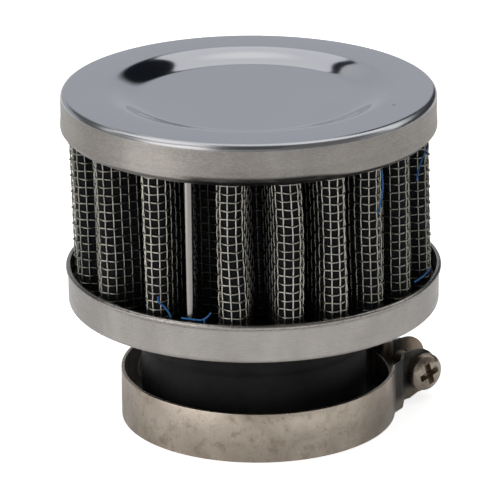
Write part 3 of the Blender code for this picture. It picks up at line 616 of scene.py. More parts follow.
crest_angles = list(FRONT_CRESTS)
spacing = (FRONT_CRESTS[0] + 360.0 - FRONT_CRESTS[-1]) / (BACK_CRESTS + 1)
crest_angles += [FRONT_CRESTS[-1] + spacing * (step + 1) for step in range(BACK_CRESTS)]
print(len(crest_angles), "crests, those behind", round(spacing, 2), "degrees apart")


# %% The line of the folds, with its fin
def valley_between(left, right):
    """Centres of the two bends of a valley floor; in a narrow valley they are the same."""
    if right - left < WIDE_VALLEY:
        middle = from_front((left + right) / 2, VALLEY_RADIUS)
        return middle, middle
    return from_front(left + WIDE_SIDE, VALLEY_RADIUS), from_front(right - WIDE_SIDE, VALLEY_RADIUS)


def fin_points(floor_point, floor_run):
    """Out along one side of the fin and back along the other."""
    tip = from_front(SEAM_ANGLE, SEAM_RADIUS)
    outward = from_front(SEAM_TURN, 1.0)
    across = Vector((-outward.y, outward.x))
    slant = floor_run.y * outward.x - floor_run.x * outward.y
    points = []
    for side in (-1, 1):
        edge = tip + across * side * FIN_GAP / 2
        gap = floor_point - edge
        points.append((edge + outward * ((gap.x * floor_run.y - gap.y * floor_run.x) / slant), edge))
    return [points[0][0], points[0][1], points[1][1], points[1][0]]


def fold_line():
    """The whole line, anticlockwise from above, and the place of each crest's middle in it."""
    count = len(crest_angles)
    centres = [from_front(angle, CREST_RADIUS - CREST_BEND) for angle in crest_angles]
    line, middles = [], []
    for index, centre in enumerate(centres):
        before = crest_angles[index - 1] - (360.0 if index == 0 else 0.0)
        after = crest_angles[(index + 1) % count] + (360.0 if index == count - 1 else 0.0)
        start = flank_turn(centre, valley_between(before, crest_angles[index])[1], -1)
        first, second = valley_between(crest_angles[index], after)
        end = flank_turn(centre, first, 1)
        arriving = flank_turn(centres[(index + 1) % count], second, -1)
        line += bend_points(centre, CREST_BEND, start, end, clockwise=False)
        middles.append(around(centre, CREST_BEND, start + ((end - start) % math.tau) / 2))
        if first == second:
            line += bend_points(first, VALLEY_BEND, end + math.pi, arriving + math.pi, clockwise=True)
            continue
        floor_turn = (first + second).normalized() * -1
        floor_angle = math.atan2(floor_turn.y, floor_turn.x)
        line += bend_points(first, VALLEY_BEND, end + math.pi, floor_angle, clockwise=True)
        line += fin_points(first + floor_turn * VALLEY_BEND, (second - first).normalized())
        line += bend_points(second, VALLEY_BEND, floor_angle, arriving + math.pi, clockwise=True)
    return line, middles


def along_line(points):
    """Distances along a closed line, with the whole length at the end."""
    reached = [0.0]
    for a, b in zip(points, points[1:] + points[:1]):
        reached.append(reached[-1] + (b - a).length)
    return reached


folds, crest_middles = fold_line()
fold_reach = along_line(folds)
print("folds:", len(folds), "points,", round(fold_reach[-1], 1), "mm of cloth round the filter")

# %% [markdown]
# Hand-folded cloth is never quite even. Every layer of the folds leans with the cap, which sits a little to
# the left of the pan, and slow waves move it sideways by a fifth of a millimetre. The seam is stiffer: it
# stands nearly upright and has no waves.

# %% Lean and unevenness of the folds
SEAM_FOOT = -0.39
SEAM_HEAD = 0.18
WAVE = 0.2
seam_tip = from_front(SEAM_ANGLE, SEAM_RADIUS)


def lean_at(height, near_seam):
    """How far a point of the folds is moved to the side at a height."""
    share = (height - PLEATS_LOW) / (PLEATS_HIGH - PLEATS_LOW)
    return CAP_SHIFT * share + near_seam * (SEAM_FOOT + (SEAM_HEAD - SEAM_FOOT) * share)


def settle(point, height):
    """Where a point of the folds ends up at a height."""
    share = (height - PLEATS_LOW) / (PLEATS_HIGH - PLEATS_LOW)
    near_seam = max(0.0, min(1.0, (8.0 - (point - seam_tip).length) / 4.0))
    round_about = math.atan2(point.y, point.x)
    wave = math.sin(5.0 * round_about + 1.3) * math.sin(math.pi * share)
    wave += 0.7 * math.sin(9.0 * round_about + 4.0) * math.sin(math.tau * share + 0.8)
    sideways = Vector((-point.y, point.x)).normalized() * wave * WAVE * (1.0 - near_seam)
    return Vector((point.x + sideways.x + lean_at(height, near_seam), point.y + sideways.y, height))


def fold_at(distance):
    """The point at a distance along the folds, and the direction out of the cloth there."""
    distance %= fold_reach[-1]
    low, high = 0, len(folds)
    while high - low > 1:
        middle = (low + high) // 2
        if fold_reach[middle] <= distance:
            low = middle
        else:
            high = middle
    a, b = folds[low], folds[(low + 1) % len(folds)]
    run = (b - a).normalized()
    return a + run * (distance - fold_reach[low]), Vector((run.y, -run.x))


# %% [markdown]
# ## Woven wire cloth
#
# The cloth is plain weave, 16 wires to the inch of 0.28 mm steel: each level wire passes in front of one
# upright wire and behind the next. The upright wires stay nearly straight and the level ones bend round
# them, so at a crest every second row juts out over the middle wire. A pattern on a flat sheet can't show
# that, so each wire is a curve with a round section. Uprights and level wires are two pieces.

# %% Where the upright wires stand
WIRE = 0.28
WIRE_PITCH = 1.58
LEVEL_CRIMP = 0.21
UPRIGHT_CRIMP = 0.07


def distance_of(point):
    """How far along the folds a crest's middle lies."""
    best = min(range(len(folds)), key=lambda index: (folds[index] - point).length)
    run = (folds[(best + 1) % len(folds)] - folds[best]).normalized()
    return fold_reach[best] + (point - folds[best]).dot(run)


crest_reach = [distance_of(point) for point in crest_middles]
uprights = []
for index, start in enumerate(crest_reach):
    end = crest_reach[(index + 1) % len(crest_reach)]
    if end <= start:
        end += fold_reach[-1]
    wires = round((end - start) / WIRE_PITCH)
    if index == len(crest_reach) - 1 and (len(uprights) + wires) % 2:
        wires += 1
    uprights += [start + (end - start) * step / wires for step in range(wires)]
level_rows = int((PLEATS_HIGH - PLEATS_LOW - 0.5) / WIRE_PITCH) + 1
row_heights = [PLEATS_LOW + 0.5 + WIRE_PITCH * row for row in range(level_rows)]
print(len(uprights), "upright wires and", level_rows, "level rows")

# %% [markdown]
# The wire is bright on the crests, and painted shade darkens it in the valleys and at both sides of the
# filter. Small flecks of tarnish break up the shine.

# %% Finish of the wires
wire_finish, tree, shader = new_finish("steel_wire", (0.5, 0.49, 0.44), 0.3, 1.0)
tarnish = noise(tree, 160.0, 120.0, 4.0, 0.6)
fine = noise(tree, 2500.0, 2500.0, 2.0)
sideways = along(tree, "X")
# Painted shade: the wire is dark in the valleys and lighter out towards the crests.
out_of_valley_shade = spread(tree, from_axis(tree), 25.5, 33.2)
bright = mottle(tree, tarnish, 0.35, 0.7, (0.60, 0.58, 0.52), (0.38, 0.37, 0.33))
flecked = mottle(tree, fine, 0.5, 0.8, bright, (0.28, 0.26, 0.22), 0.4)
# Painted shade: the wire is darker towards both sides.
at_left = spread(tree, sideways, -20.0, -32.0, 0.0, 0.5)
at_right = spread(tree, sideways, 16.0, 31.0, 0.0, 0.6)
flecked = blend(tree, calculate(tree, "MAXIMUM", at_left, at_right), flecked, (0.17, 0.175, 0.15))
fill(shader, {"Base Color": blend(tree, out_of_valley_shade, (0.1, 0.102, 0.096), flecked)})
fill(shader, {"Roughness": spread(tree, fine, 0.3, 0.7, 0.26, 0.44)})


# %% Draw wires as round curves
def bake(obj, name):
    """The mesh of an object with its curve or modifiers worked out; the object goes."""
    evaluated = obj.evaluated_get(bpy.context.evaluated_depsgraph_get())
    mesh = bpy.data.meshes.new_from_object(evaluated)
    mesh.name = name
    bpy.data.objects.remove(obj, do_unlink=True)
    return mesh


def wire_curves(name, lines, finish, cyclic, thickness=WIRE, node=None, rounding=1):
    """Makes one piece of many round wires, each a list of points in millimetres."""
    data = bpy.data.curves.new(name, "CURVE")
    data.dimensions = "3D"
    data.bevel_depth = thickness / 2 * MM
    data.bevel_resolution = rounding
    data.use_fill_caps = True
    for points in lines:
        spline = data.splines.new("POLY")
        spline.points.add(len(points) - 1)
        for spot, point in zip(spline.points, points):
            spot.co = (point.x * MM, point.y * MM, point.z * MM, 1.0)
        spline.use_cyclic_u = cyclic
    ride_piece(name, bake(put_in_scene(name + "_drawn", data), name), finish, node, crease=80.0)


def weave_point(distance, height, out):
    """A point of the cloth, moved out of its middle surface by a distance."""
    point, outward = fold_at(distance)
    return settle(point + outward * out, height)


# %% Weave the outer cloth
upright_lines = []
for index, distance in enumerate(uprights):
    line = [weave_point(distance, PLEATS_LOW + 0.05, 0.0)]
    for row, height in enumerate(row_heights):
        over = 1 if (index + row) % 2 else -1
        line.append(weave_point(distance, height, over * UPRIGHT_CRIMP))
    line.append(weave_point(distance, PLEATS_HIGH - 0.05, 0.0))
    upright_lines.append(line)
level_lines = []
for row, height in enumerate(row_heights):
    line = []
    for index, distance in enumerate(uprights):
        over = -1 if (index + row) % 2 else 1
        following = uprights[(index + 1) % len(uprights)]
        if following <= distance:
            following += fold_reach[-1]
        line.append(weave_point(distance, height, over * LEVEL_CRIMP))
        line.append(weave_point((distance + following) / 2, height, 0.0))
    level_lines.append(line)
wire_curves("outer_upright_wires", upright_lines, wire_finish, cyclic=False, node="outer_screen")
wire_curves("outer_level_wires", level_lines, wire_finish, cyclic=True)

# %% [markdown]
# ## Gauze and inner cloth
#
# Behind the wires lies oiled cotton gauze, black and soft, and behind that a second wire cloth that holds it
# from inside. The gauze is the same line drawn a little further in, raised into a wall and given its
# thickness. The inner cloth shows only through the neck, so its wires simply cross.

# %% Finish of the gauze
gauze_finish, tree, shader = new_finish("oiled_gauze", (0.006, 0.007, 0.009), 0.8, 0.0)
fibres = noise(tree, 2200.0, 1500.0, 5.0, 0.7, 0.8)
patches = noise(tree, 240.0, 160.0, 4.0, 0.6)
cotton = mottle(tree, fibres, 0.45, 0.75, (0.003, 0.0035, 0.005), (0.013, 0.015, 0.019))
fill(shader, {"Base Color": mottle(tree, patches, 0.5, 0.75, cotton, (0.009, 0.011, 0.015), 0.6)})
fill(shader, {"Specular IOR Level": 0.2, "Sheen Weight": 0.03, "Sheen Roughness": 0.5})
raise_bumps(tree, shader, fibres, 0.12, 0.8)


# %% Raise the gauze along the folds
def moved_in(points, distance):
    """A closed line moved towards its inside, every edge parallel to its own."""
    moved = []
    for index, here in enumerate(points):
        before, after = points[index - 1], points[(index + 1) % len(points)]
        edge_in, edge_out = (here - before).normalized(), (after - here).normalized()
        side_out = Vector((-edge_out.y, edge_out.x))
        mean = (Vector((-edge_in.y, edge_in.x)) + side_out).normalized()
        moved.append(here + mean * distance / max(0.35, mean.dot(side_out)))
    return moved


def away_from_fin(point):
    """Whether a point isn't on the fin, at whose foot the inner layers end."""
    return abs(math.degrees(math.atan2(point.x, -point.y)) - SEAM_ANGLE) >= 2.5


def raise_faces(bm, faces, rises):
    """Extrudes faces upwards, one rise after the other; only the first ones stay, as the floor."""
    for level, rise in enumerate(rises):
        edges = list(dict.fromkeys(edge for face in faces for edge in face.edges))
        raised = bmesh.ops.extrude_face_region(bm, geom=faces + edges, use_keep_orig=level == 0)["geom"]
        faces = [item for item in raised if isinstance(item, bmesh.types.BMFace)]
        verts = [item for item in raised if isinstance(item, bmesh.types.BMVert)]
        bmesh.ops.translate(bm, verts=verts, vec=(0.0, 0.0, rise))


def fold_wall(outer, inner, steps=8):
    """A folded layer between two lines, raised in steps so that it follows the lean."""
    bm = bmesh.new()
    front = [bm.verts.new((*point, 0.0)) for point in outer]
    back = [bm.verts.new((*point, 0.0)) for point in inner]
    faces = []
    for index in range(len(outer)):
        faces.append(bm.faces.new((front[index - 1], front[index], back[index], back[index - 1])))
    raise_faces(bm, faces, [(PLEATS_HIGH - PLEATS_LOW - 0.1) / steps] * steps)
    for vert in bm.verts:
        vert.co = settle(vert.co.xy, PLEATS_LOW + 0.05 + vert.co.z)
    return bm


plain_folds = [point for point in folds if away_from_fin(point)]
gauze = fold_wall(moved_in(plain_folds, 0.42), moved_in(plain_folds, 1.1))
place_piece(gauze, "cotton_gauze", gauze_finish, "filter_gauze", crease=60.0)

# %% Cross the wires of the inner cloth
inner_folds = moved_in(plain_folds, 1.5)
inner_reach = along_line(inner_folds)
inner_uprights = []
next_wire = 0.0
for index, point in enumerate(inner_folds):
    run = inner_folds[(index + 1) % len(inner_folds)] - point
    while next_wire < inner_reach[index + 1]:
        inner_uprights.append(point + run * ((next_wire - inner_reach[index]) / max(run.length, 1e-6)))
        next_wire += WIRE_PITCH
inner_steps = [PLEATS_LOW + 0.1 + (PLEATS_HIGH - PLEATS_LOW - 0.2) * step / 6 for step in range(7)]
upright_lines = [[settle(point, height) for height in inner_steps] for point in inner_uprights]
level_lines = [[settle(point, height) for point in moved_in(inner_folds, 0.2)] for height in row_heights]
wire_curves("inner_upright_wires", upright_lines, wire_finish, cyclic=False, node="inner_screen", rounding=0)
wire_curves("inner_level_wires", level_lines, wire_finish, cyclic=True, rounding=0)

# %% [markdown]
# ## Seam clip
#
# The two ends of the cloth are held by a narrow strip folded over them, from under the cap nearly to the pan.
# Its nose is round, and its lower end is trimmed to a point. It starts as a U seen from above, is raised in
# steps, and its lowest steps are narrowed.

# %% Finish of the strip
clip_finish, tree, shader = new_finish("satin_strip", (0.4, 0.385, 0.37), 0.34, 1.0)
drawn_marks = noise(tree, 5200.0, 90.0, 3.0, 0.6)
fill(shader, {"Base Color": mottle(tree, drawn_marks, 0.3, 0.7, (0.32, 0.305, 0.292), (0.39, 0.375, 0.36))})
fill(shader, {"Roughness": spread(tree, drawn_marks, 0.3, 0.7, 0.26, 0.4)})
raise_bumps(tree, shader, drawn_marks, 0.01, 0.4)

# %% Fold the strip over the seam
CLIP_HALF = 0.67
CLIP_DEPTH = 2.2
CLIP_NOSE = 0.55
CLIP_BULGE = 0.42
CLIP_SHEET = 0.25
CLIP_FOOT = PLEATS_LOW + 2.2
CLIP_WIDTHS = {0.0: 0.5, 0.18: 0.7, 0.5: 0.84, 1.0: 0.9, 2.2: 0.92, 8.0: 0.95, 18.0: 1.0}
CLIP_WIDTHS[PLEATS_HIGH - CLIP_FOOT] = 1.0
seam_out = from_front(SEAM_TURN, 1.0)
seam_across = Vector((-seam_out.y, seam_out.x))


def clip_section():
    """The U of the strip from above: out along one leg, round the nose and back."""
    middle = seam_tip + seam_out * (CLIP_NOSE - CLIP_BULGE)
    leg = seam_out * (CLIP_DEPTH - CLIP_NOSE)
    outer, inner = [], []
    for step in range(9):
        turned = math.pi * step / 8
        reach = seam_across * -math.cos(turned)
        bulge = seam_out * math.sin(turned) * CLIP_BULGE
        outer.append(middle + reach * CLIP_HALF + bulge)
        inner.append(middle + reach * (CLIP_HALF - CLIP_SHEET) + bulge * 0.4)
    outer = [outer[0] - leg, *outer, outer[-1] - leg]
    inner = [inner[0] - leg, *inner, inner[-1] - leg]
    return outer + inner[::-1]


def raise_clip():
    """Raises the U and narrows its lowest steps to a point."""
    levels = list(CLIP_WIDTHS)
    bm = bmesh.new()
    foot = bm.faces.new([bm.verts.new((*point, 0.0)) for point in clip_section()])
    raise_faces(bm, [foot], [high - low for low, high in zip(levels, levels[1:])])
    for vert in bm.verts:
        level = min(levels, key=lambda rise: abs(rise - vert.co.z))
        across = (vert.co.xy - seam_tip).dot(seam_across)
        moved = seam_across * across * (CLIP_WIDTHS[level] - 1)
        height = CLIP_FOOT + level
        vert.co = (vert.co.x + moved.x + lean_at(height, 1.0), vert.co.y + moved.y, height)
    return bm


place_piece(raise_clip(), "seam_strip", clip_finish, "seam_clip", crease=50.0)

# %% [markdown]
# ## Clamp
#
# The clamp is one strip of stainless steel, bent into a loose ring with two ears. A screw passes both ears
# into a square nut, and a narrow tongue inside bridges the gap between them. The near ear is sprung out with
# a step. The strip is drawn as a line seen from above, raised to its width, rounded at both ends, given its
# thickness and drilled.

# %% Finish of the stained steel
def stained_steel(name, light, dark, stain, blot_size):
    """Warm steel with handling marks and brown stains; gives the colour back for the painted shade to come.
    """
    material, tree, shader = new_finish(name, light, 0.3, 1.0)
    clouds = noise(tree, 120.0, 120.0, 5.0, 0.62, 0.8)
    blots = noise(tree, blot_size, blot_size, 6.0, 0.68, 0.4)
    specks = noise(tree, 5 * blot_size, 4 * blot_size, 3.0, 0.6, 0.5)
    worn = mottle(tree, clouds, 0.35, 0.7, light, dark)
    stained = mottle(tree, blots, 0.48, 0.72, worn, stain, 0.6)
    stained = mottle(tree, specks, 0.6, 0.72, stained, stain, 0.55)
    fill(shader, {"Base Color": stained, "Roughness": spread(tree, clouds, 0.3, 0.7, 0.22, 0.38)})
    raise_bumps(tree, shader, noise(tree, 300.0, 5000.0, 3.0), 0.012, 0.4)
    return material, tree, shader, stained


clamp_finish, tree, shader, stained = stained_steel(
    "stained_clamp", (0.58, 0.51, 0.435), (0.47, 0.41, 0.345), (0.25, 0.19, 0.135), 430.0
)
screw_finish = stained_steel(
    "stained_screw", (0.44, 0.385, 0.32), (0.26, 0.205, 0.155), (0.07, 0.045, 0.028), 520.0
)[0]

# %% [markdown]
# Painted shade darkens the strip round the ears, and the right of the band's inner side, next to the neck.
# It is lighter near the table and on the far ear, where it is brown. The left of the inner side is painted
# pale, and painted shade darkens the steel at both sides. Masks on the clamp's own coordinates hold all of
# it, a noise breaks the painted shade up, and the painted shade and the pale patch also take the metal's
# shine away.

# %% Painted shade on the clamp
LUG_FROM = 26.5
CLAMP_INSIDE = 25.6
FAR_EAR_FROM = 12.0
sideways, depth = along(tree, "X"), along(tree, "Y")
# Painted shade round the ears and on the right of the band's inner side, lighter near the table and on the
# far ear.
inner_wall = spread(tree, from_axis(tree, CLAMP_SHIFT), CLAMP_INSIDE + 0.15, CLAMP_INSIDE)
off_table = spread(tree, along(tree, "Z"), 1.2, 3.2, 0.3, 1.0)
by_lug = calculate(tree, "MULTIPLY", spread(tree, sideways, LUG_FROM, LUG_FROM + 0.7), off_table)
by_neck = calculate(tree, "MULTIPLY", inner_wall, spread(tree, sideways, 4.0, 14.0, 0.0, 0.92))
painted_shade = calculate(tree, "MAXIMUM", by_lug, by_neck)
patchy = spread(tree, noise(tree, 300.0, 220.0, 5.0, 0.6), 0.3, 0.6, 0.62, 1.0)
painted_shade = calculate(tree, "MULTIPLY", painted_shade, patchy)
painted_shade = calculate(tree, "MULTIPLY", painted_shade, spread(tree, depth, FAR_EAR_FROM, FAR_EAR_FROM + 2.5, 1.0, 0.5))
# The left of the inner side is painted pale and made less shiny.
pale_inside_left = calculate(tree, "MULTIPLY", inner_wall, spread(tree, sideways, -8.0, -14.0, 0.0, 0.8))
shade_and_pale = calculate(tree, "MAXIMUM", painted_shade, pale_inside_left)
painted_shade_colour = mottle(tree, depth, FAR_EAR_FROM, FAR_EAR_FROM + 2.5, (0.018, 0.019, 0.017), (0.22, 0.13, 0.06))
# Painted shade: the steel is darker towards both sides.
stained = blend(tree, at_sides(tree, 17.0, 24.0, 0.55), stained, (0.2, 0.165, 0.135))
stained = blend(tree, pale_inside_left, stained, (0.75, 0.72, 0.66))
fill(shader, {"Base Color": blend(tree, painted_shade, stained, painted_shade_colour), "Specular IOR Level": 0.15})
fill(shader, {"Metallic": spread(tree, shade_and_pale, 0.1, 0.85, 1.0, 0.0)})

# %% Sizes of the clamp
BAND_WIDTH = 9.6
BAND_THICK = 0.6
BAND_INNER = 25.57
BAND_MIDDLE = BAND_INNER + BAND_THICK / 2
EAR_RADIUS = 4.4
EAR_TAPER = 2.0
EAR_BEND = 1.5
NEAR_EAR_ROOT = -4.5
NEAR_EAR_STEP = 3.0
NEAR_EAR_STEP_TURN = 58.0
NEAR_EAR_FLAT = 4.2
NEAR_EAR_PAST = -0.8
FAR_EAR_PAST = 1.5
SCREW_TURN = 36.0
SCREW_HEIGHT = 5.2
SCREW_STANDOFF = 3.3
NEAR_EAR_AT = -12.6
EAR_SPACING = 6.5
END_SHARES = (1.0, 0.985, 0.94, 0.86, 0.75, 0.6, 0.42, 0.2, 0.0)
clamp_centre = Vector((CLAMP_SHIFT, 0.0))
ear_out = Vector((math.cos(math.radians(SCREW_TURN)), math.sin(math.radians(SCREW_TURN))))
ear_along = Vector((-ear_out.y, ear_out.x))


def ear_hole(distance):
    """Centre of an ear's hole from above, at a distance along the screw."""
    return clamp_centre + ear_out * (BAND_INNER + BAND_THICK + SCREW_STANDOFF) + ear_along * distance


# %% The line of the strip from above
def arc_line(centre, radius, start, end, step=5.0):
    """Points along an arc from one angle to another, in degrees."""
    count = max(2, round(abs(end - start) / step) + 1)
    turns = [math.radians(start + (end - start) * index / (count - 1)) for index in range(count)]
    return [around(centre, radius, turned) for turned in turns]


def round_bend(before, corner, after, radius):
    """Points round the bend between two straight runs."""
    arriving = (corner - before).normalized()
    leaving = (after - corner).normalized()
    turned = math.atan2(arriving.x * leaving.y - arriving.y * leaving.x, arriving.dot(leaving))
    start = corner - arriving * radius * math.tan(abs(turned) / 2)
    centre = start + Vector((-arriving.y, arriving.x)) * math.copysign(radius, turned)
    first = math.degrees(math.atan2(start.y - centre.y, start.x - centre.x))
    return arc_line(centre, radius, first, first + math.degrees(turned), 9.0)


near, far = ear_hole(NEAR_EAR_AT), ear_hole(NEAR_EAR_AT + EAR_SPACING)
near_end = near + ear_out * NEAR_EAR_PAST
far_end = far + ear_out * FAR_EAR_PAST
root_turn = math.radians(NEAR_EAR_ROOT)
root = around(clamp_centre, BAND_MIDDLE, root_turn)
on_ring = root + Vector((math.sin(root_turn), -math.cos(root_turn)))
step_corner = around(root, NEAR_EAR_STEP, math.radians(NEAR_EAR_STEP_TURN))
foot_corner = near - ear_out * NEAR_EAR_FLAT
near_path = [near_end + ear_out * share * EAR_RADIUS for share in END_SHARES]
near_path += [near_end - ear_out * share * EAR_TAPER for share in (0.5, 1.0)]
near_path += round_bend(near, foot_corner, step_corner, EAR_BEND)
near_path += round_bend(foot_corner, step_corner, root, EAR_BEND)
near_path += round_bend(step_corner, root, on_ring, EAR_BEND)

bend_middle = EAR_BEND + BAND_THICK / 2
bend_start = far + ear_along * bend_middle - clamp_centre
out_part = bend_start.dot(ear_out)
ear_length = out_part - math.sqrt(out_part**2 - bend_start.length_squared + (BAND_MIDDLE + bend_middle) ** 2)
from_centre = bend_start - ear_out * ear_length
arrives = math.degrees(math.atan2(from_centre.y, from_centre.x))
far_path = arc_line(clamp_centre + from_centre, bend_middle, arrives + 180.0, 270.0 + SCREW_TURN, 9.0)
far_path += [far_end - ear_out * share * EAR_TAPER for share in (1.0, 0.5)]
far_path += [far_end + ear_out * share * EAR_RADIUS for share in reversed(END_SHARES)]
joins = near_path[-1] - clamp_centre
leaves = math.degrees(math.atan2(joins.y, joins.x))
ring_path = arc_line(clamp_centre, BAND_MIDDLE, leaves, arrives - 360.0, 4.0)[1:-1]
print("strip:", len(near_path + ring_path + far_path), "points")


# %% Raise, round and thicken the strip
def ear_edges(point, end):
    """Lower and upper edge of the strip: round at the ear's end, full width on the ring."""
    past = (point - end).dot(ear_out)
    if past > 0.0:
        half = math.sqrt(max(EAR_RADIUS**2 - past**2, 0.3**2))
        return SCREW_HEIGHT - half, SCREW_HEIGHT + half
    share = eased(min(1.0, -past / EAR_TAPER))
    low = (SCREW_HEIGHT - EAR_RADIUS) * (1 - share)
    high = SCREW_HEIGHT + EAR_RADIUS + (BAND_WIDTH - SCREW_HEIGHT - EAR_RADIUS) * share
    return low, high


def raise_strip(stations, thickness, edge_round):
    """A bent strip from (point, low, high), thickened evenly to both sides, with its edges eased."""
    bm = bmesh.new()
    feet = [bm.verts.new((point.x, point.y, low)) for point, low, high in stations]
    edges = [bm.edges.new(pair) for pair in zip(feet, feet[1:])]
    raised = bmesh.ops.extrude_edge_only(bm, edges=edges)["geom"]
    for vert in [item for item in raised if isinstance(item, bmesh.types.BMVert)]:
        vert.co.z = min(stations, key=lambda station: (station[0] - vert.co.xy).length)[2]
    bmesh.ops.scale(bm, vec=(MM, MM, MM), verts=bm.verts)
    strip = put_in_scene("strip", mesh_of(bm, "strip"))
    thick = strip.modifiers.new("thickness", "SOLIDIFY")
    thick.thickness = thickness * MM
    thick.offset = 0.0
    thick.use_even_offset = True
    ease = strip.modifiers.new("eased edges", "BEVEL")
    ease.width = edge_round * MM
    ease.segments = 2
    ease.limit_method = "ANGLE"
    ease.angle_limit = math.radians(50.0)
    return strip


def on_screw(bm, distance):
    """Puts a bmesh in millimetres on the screw's line, with its +Z out of the head."""
    spot = ear_hole(distance) * MM
    bmesh.ops.scale(bm, vec=(MM, MM, MM), verts=bm.verts)
    place = Matrix.Translation((*spot, SCREW_HEIGHT * MM)) @ rotation(SCREW_TURN, "Z") @ rotation(90.0, "X")
    bmesh.ops.transform(bm, matrix=place, verts=bm.verts)


def drill(radius):
    """A long cylinder to drill with, on the screw's line."""
    bm = bmesh.new()
    bmesh.ops.create_cone(bm, cap_ends=True, segments=40, radius1=radius, radius2=radius, depth=30.0)
    on_screw(bm, NEAR_EAR_AT)
    return put_in_scene("drill", mesh_of(bm, "drill"))


def drilled(solid, tool, name, crossing=False):
    """Cuts a tool out of an object and bakes the result; the tool's own parts may cross."""
    hole = solid.modifiers.new("hole", "BOOLEAN")
    hole.operation = "DIFFERENCE"
    hole.object = tool
    hole.use_self = crossing
    mesh = bake(solid, name)
    bpy.data.objects.remove(tool, do_unlink=True)
    return mesh


stations = [(point, *ear_edges(point, near_end)) for point in near_path]
stations += [(point, 0.0, BAND_WIDTH) for point in ring_path]
stations += [(point, *ear_edges(point, far_end)) for point in far_path]
band_mesh = drilled(raise_strip(stations, BAND_THICK, 0.1), drill(2.3), "bent_band")
ride_piece("bent_band", band_mesh, clamp_finish, "clamp_band")

# %% The tongue inside the band
TONGUE_THICK = 0.4
TONGUE_HALF = 2.75
TONGUE_FROM = -14.0
TONGUE_TO = 158.0
tongue_radius = BAND_INNER - 0.3 - TONGUE_THICK / 2
tongue_middle = BAND_WIDTH / 2
stations = []
for step in range(61):
    angle = TONGUE_FROM + (TONGUE_TO - TONGUE_FROM) * step / 60
    from_end = math.radians(min(angle - TONGUE_FROM, TONGUE_TO - angle)) * tongue_radius
    short_of_round = 1 - min(from_end, TONGUE_HALF) / TONGUE_HALF
    half = max(0.8, TONGUE_HALF * math.sqrt(max(0.0, 1 - short_of_round**2)))
    point = around(clamp_centre, tongue_radius, math.radians(angle))
    stations.append((point, tongue_middle - half, tongue_middle + half))
tongue_mesh = bake(raise_strip(stations, TONGUE_THICK, 0.08), "bent_tongue")
ride_piece("bent_tongue", tongue_mesh, clamp_finish, "clamp_tongue")

# %% Weld spots that hold the tongue
WELD_TURNS = (155.0, 145.5)
bm = bmesh.new()
for angle in WELD_TURNS:
    made = bmesh.ops.create_uvsphere(bm, u_segments=24, v_segments=12, radius=0.9)["verts"]
    bmesh.ops.scale(bm, vec=(0.16, 1.0, 0.85), verts=made)
    bmesh.ops.rotate(bm, verts=made, cent=(0, 0, 0), matrix=rotation(angle, "Z", 3))
    spot = around(clamp_centre, tongue_radius - TONGUE_THICK / 2, math.radians(angle))
    bmesh.ops.translate(bm, verts=made, vec=(*spot, tongue_middle - 0.6))
place_piece(bm, "weld_spots", clamp_finish)

# %% [markdown]
# ## Screw and nut
#
# A pan head screw with a cross recess goes through both ears. The recess is cut with two crossing bars that
# narrow downwards, and a core. The thread is real here: one tooth is spun along a helix with 0.7 mm of rise
# a turn, which is what an M4 screw has.

# %% Turn the screw's head and cut its recess
HEAD_RADIUS = 3.65
HEAD_HEIGHT = 2.3
HEAD_RIM = 0.95
RECESS_BAR = (5.3, 1.45, 2.2)
RECESS_TURNS = (18.0, 108.0)
SCREW_LENGTH = 16.0
head_seat = NEAR_EAR_AT - BAND_THICK / 2 - 0.3


def recess_tool():
    """The crossing bars and the core that cut the recess."""
    bm = bmesh.new()
    for angle in RECESS_TURNS:
        made = bmesh.ops.create_cube(bm, size=1.0)["verts"]
        bmesh.ops.scale(bm, vec=RECESS_BAR, verts=made)
        bmesh.ops.translate(bm, verts=made, vec=(0.0, 0.0, HEAD_HEIGHT - 0.5))
        low = [vert for vert in made if vert.co.z < HEAD_HEIGHT - 1.0]
        bmesh.ops.scale(bm, vec=(0.45, 0.6, 1.0), verts=low)
        bmesh.ops.rotate(bm, verts=made, cent=(0, 0, 0), matrix=rotation(angle, "Z", 3))
    sizes = {"radius1": 0.35, "radius2": 1.05, "depth": 2.4}
    core = bmesh.ops.create_cone(bm, cap_ends=True, segments=24, **sizes)["verts"]
    bmesh.ops.translate(bm, verts=core, vec=(0.0, 0.0, HEAD_HEIGHT - 0.7))
    on_screw(bm, head_seat)
    return put_in_scene("recess", mesh_of(bm, "recess"))


def turn_head():
    """The head and its plain neck, as one turned solid."""
    section = [(0.6, -0.6), (1.95, -0.6), (1.95, 0.0), (HEAD_RADIUS - 0.15, 0.0), (HEAD_RADIUS, 0.15)]
    section.append((HEAD_RADIUS, HEAD_RIM))
    for step in range(1, 10):
        turned = math.radians(9.0 * step)
        radius = HEAD_RADIUS * (0.42 + 0.58 * math.cos(turned))
        section.append((radius, HEAD_RIM + (HEAD_HEIGHT - HEAD_RIM) * math.sin(turned)))
    section.append((HEAD_RADIUS * 0.3, HEAD_HEIGHT))
    bm = spin_section(section, 64, closed=False)
    bmesh.ops.recalc_face_normals(bm, faces=bm.faces)
    on_screw(bm, head_seat)
    return put_in_scene("head", mesh_of(bm, "head"))


head_mesh = drilled(turn_head(), recess_tool(), "screw_head", crossing=True)
ride_piece("screw_head", head_mesh, screw_finish, "clamp_screw", crease=35.0)

# %% Spin the thread along a helix
THREAD_PITCH = 0.7
THREAD_CORE = 1.56
THREAD_TOOTH = ((1.5, -0.3), (1.97, -0.05), (1.97, 0.05), (1.5, 0.3))
STEPS_A_TURN = 24


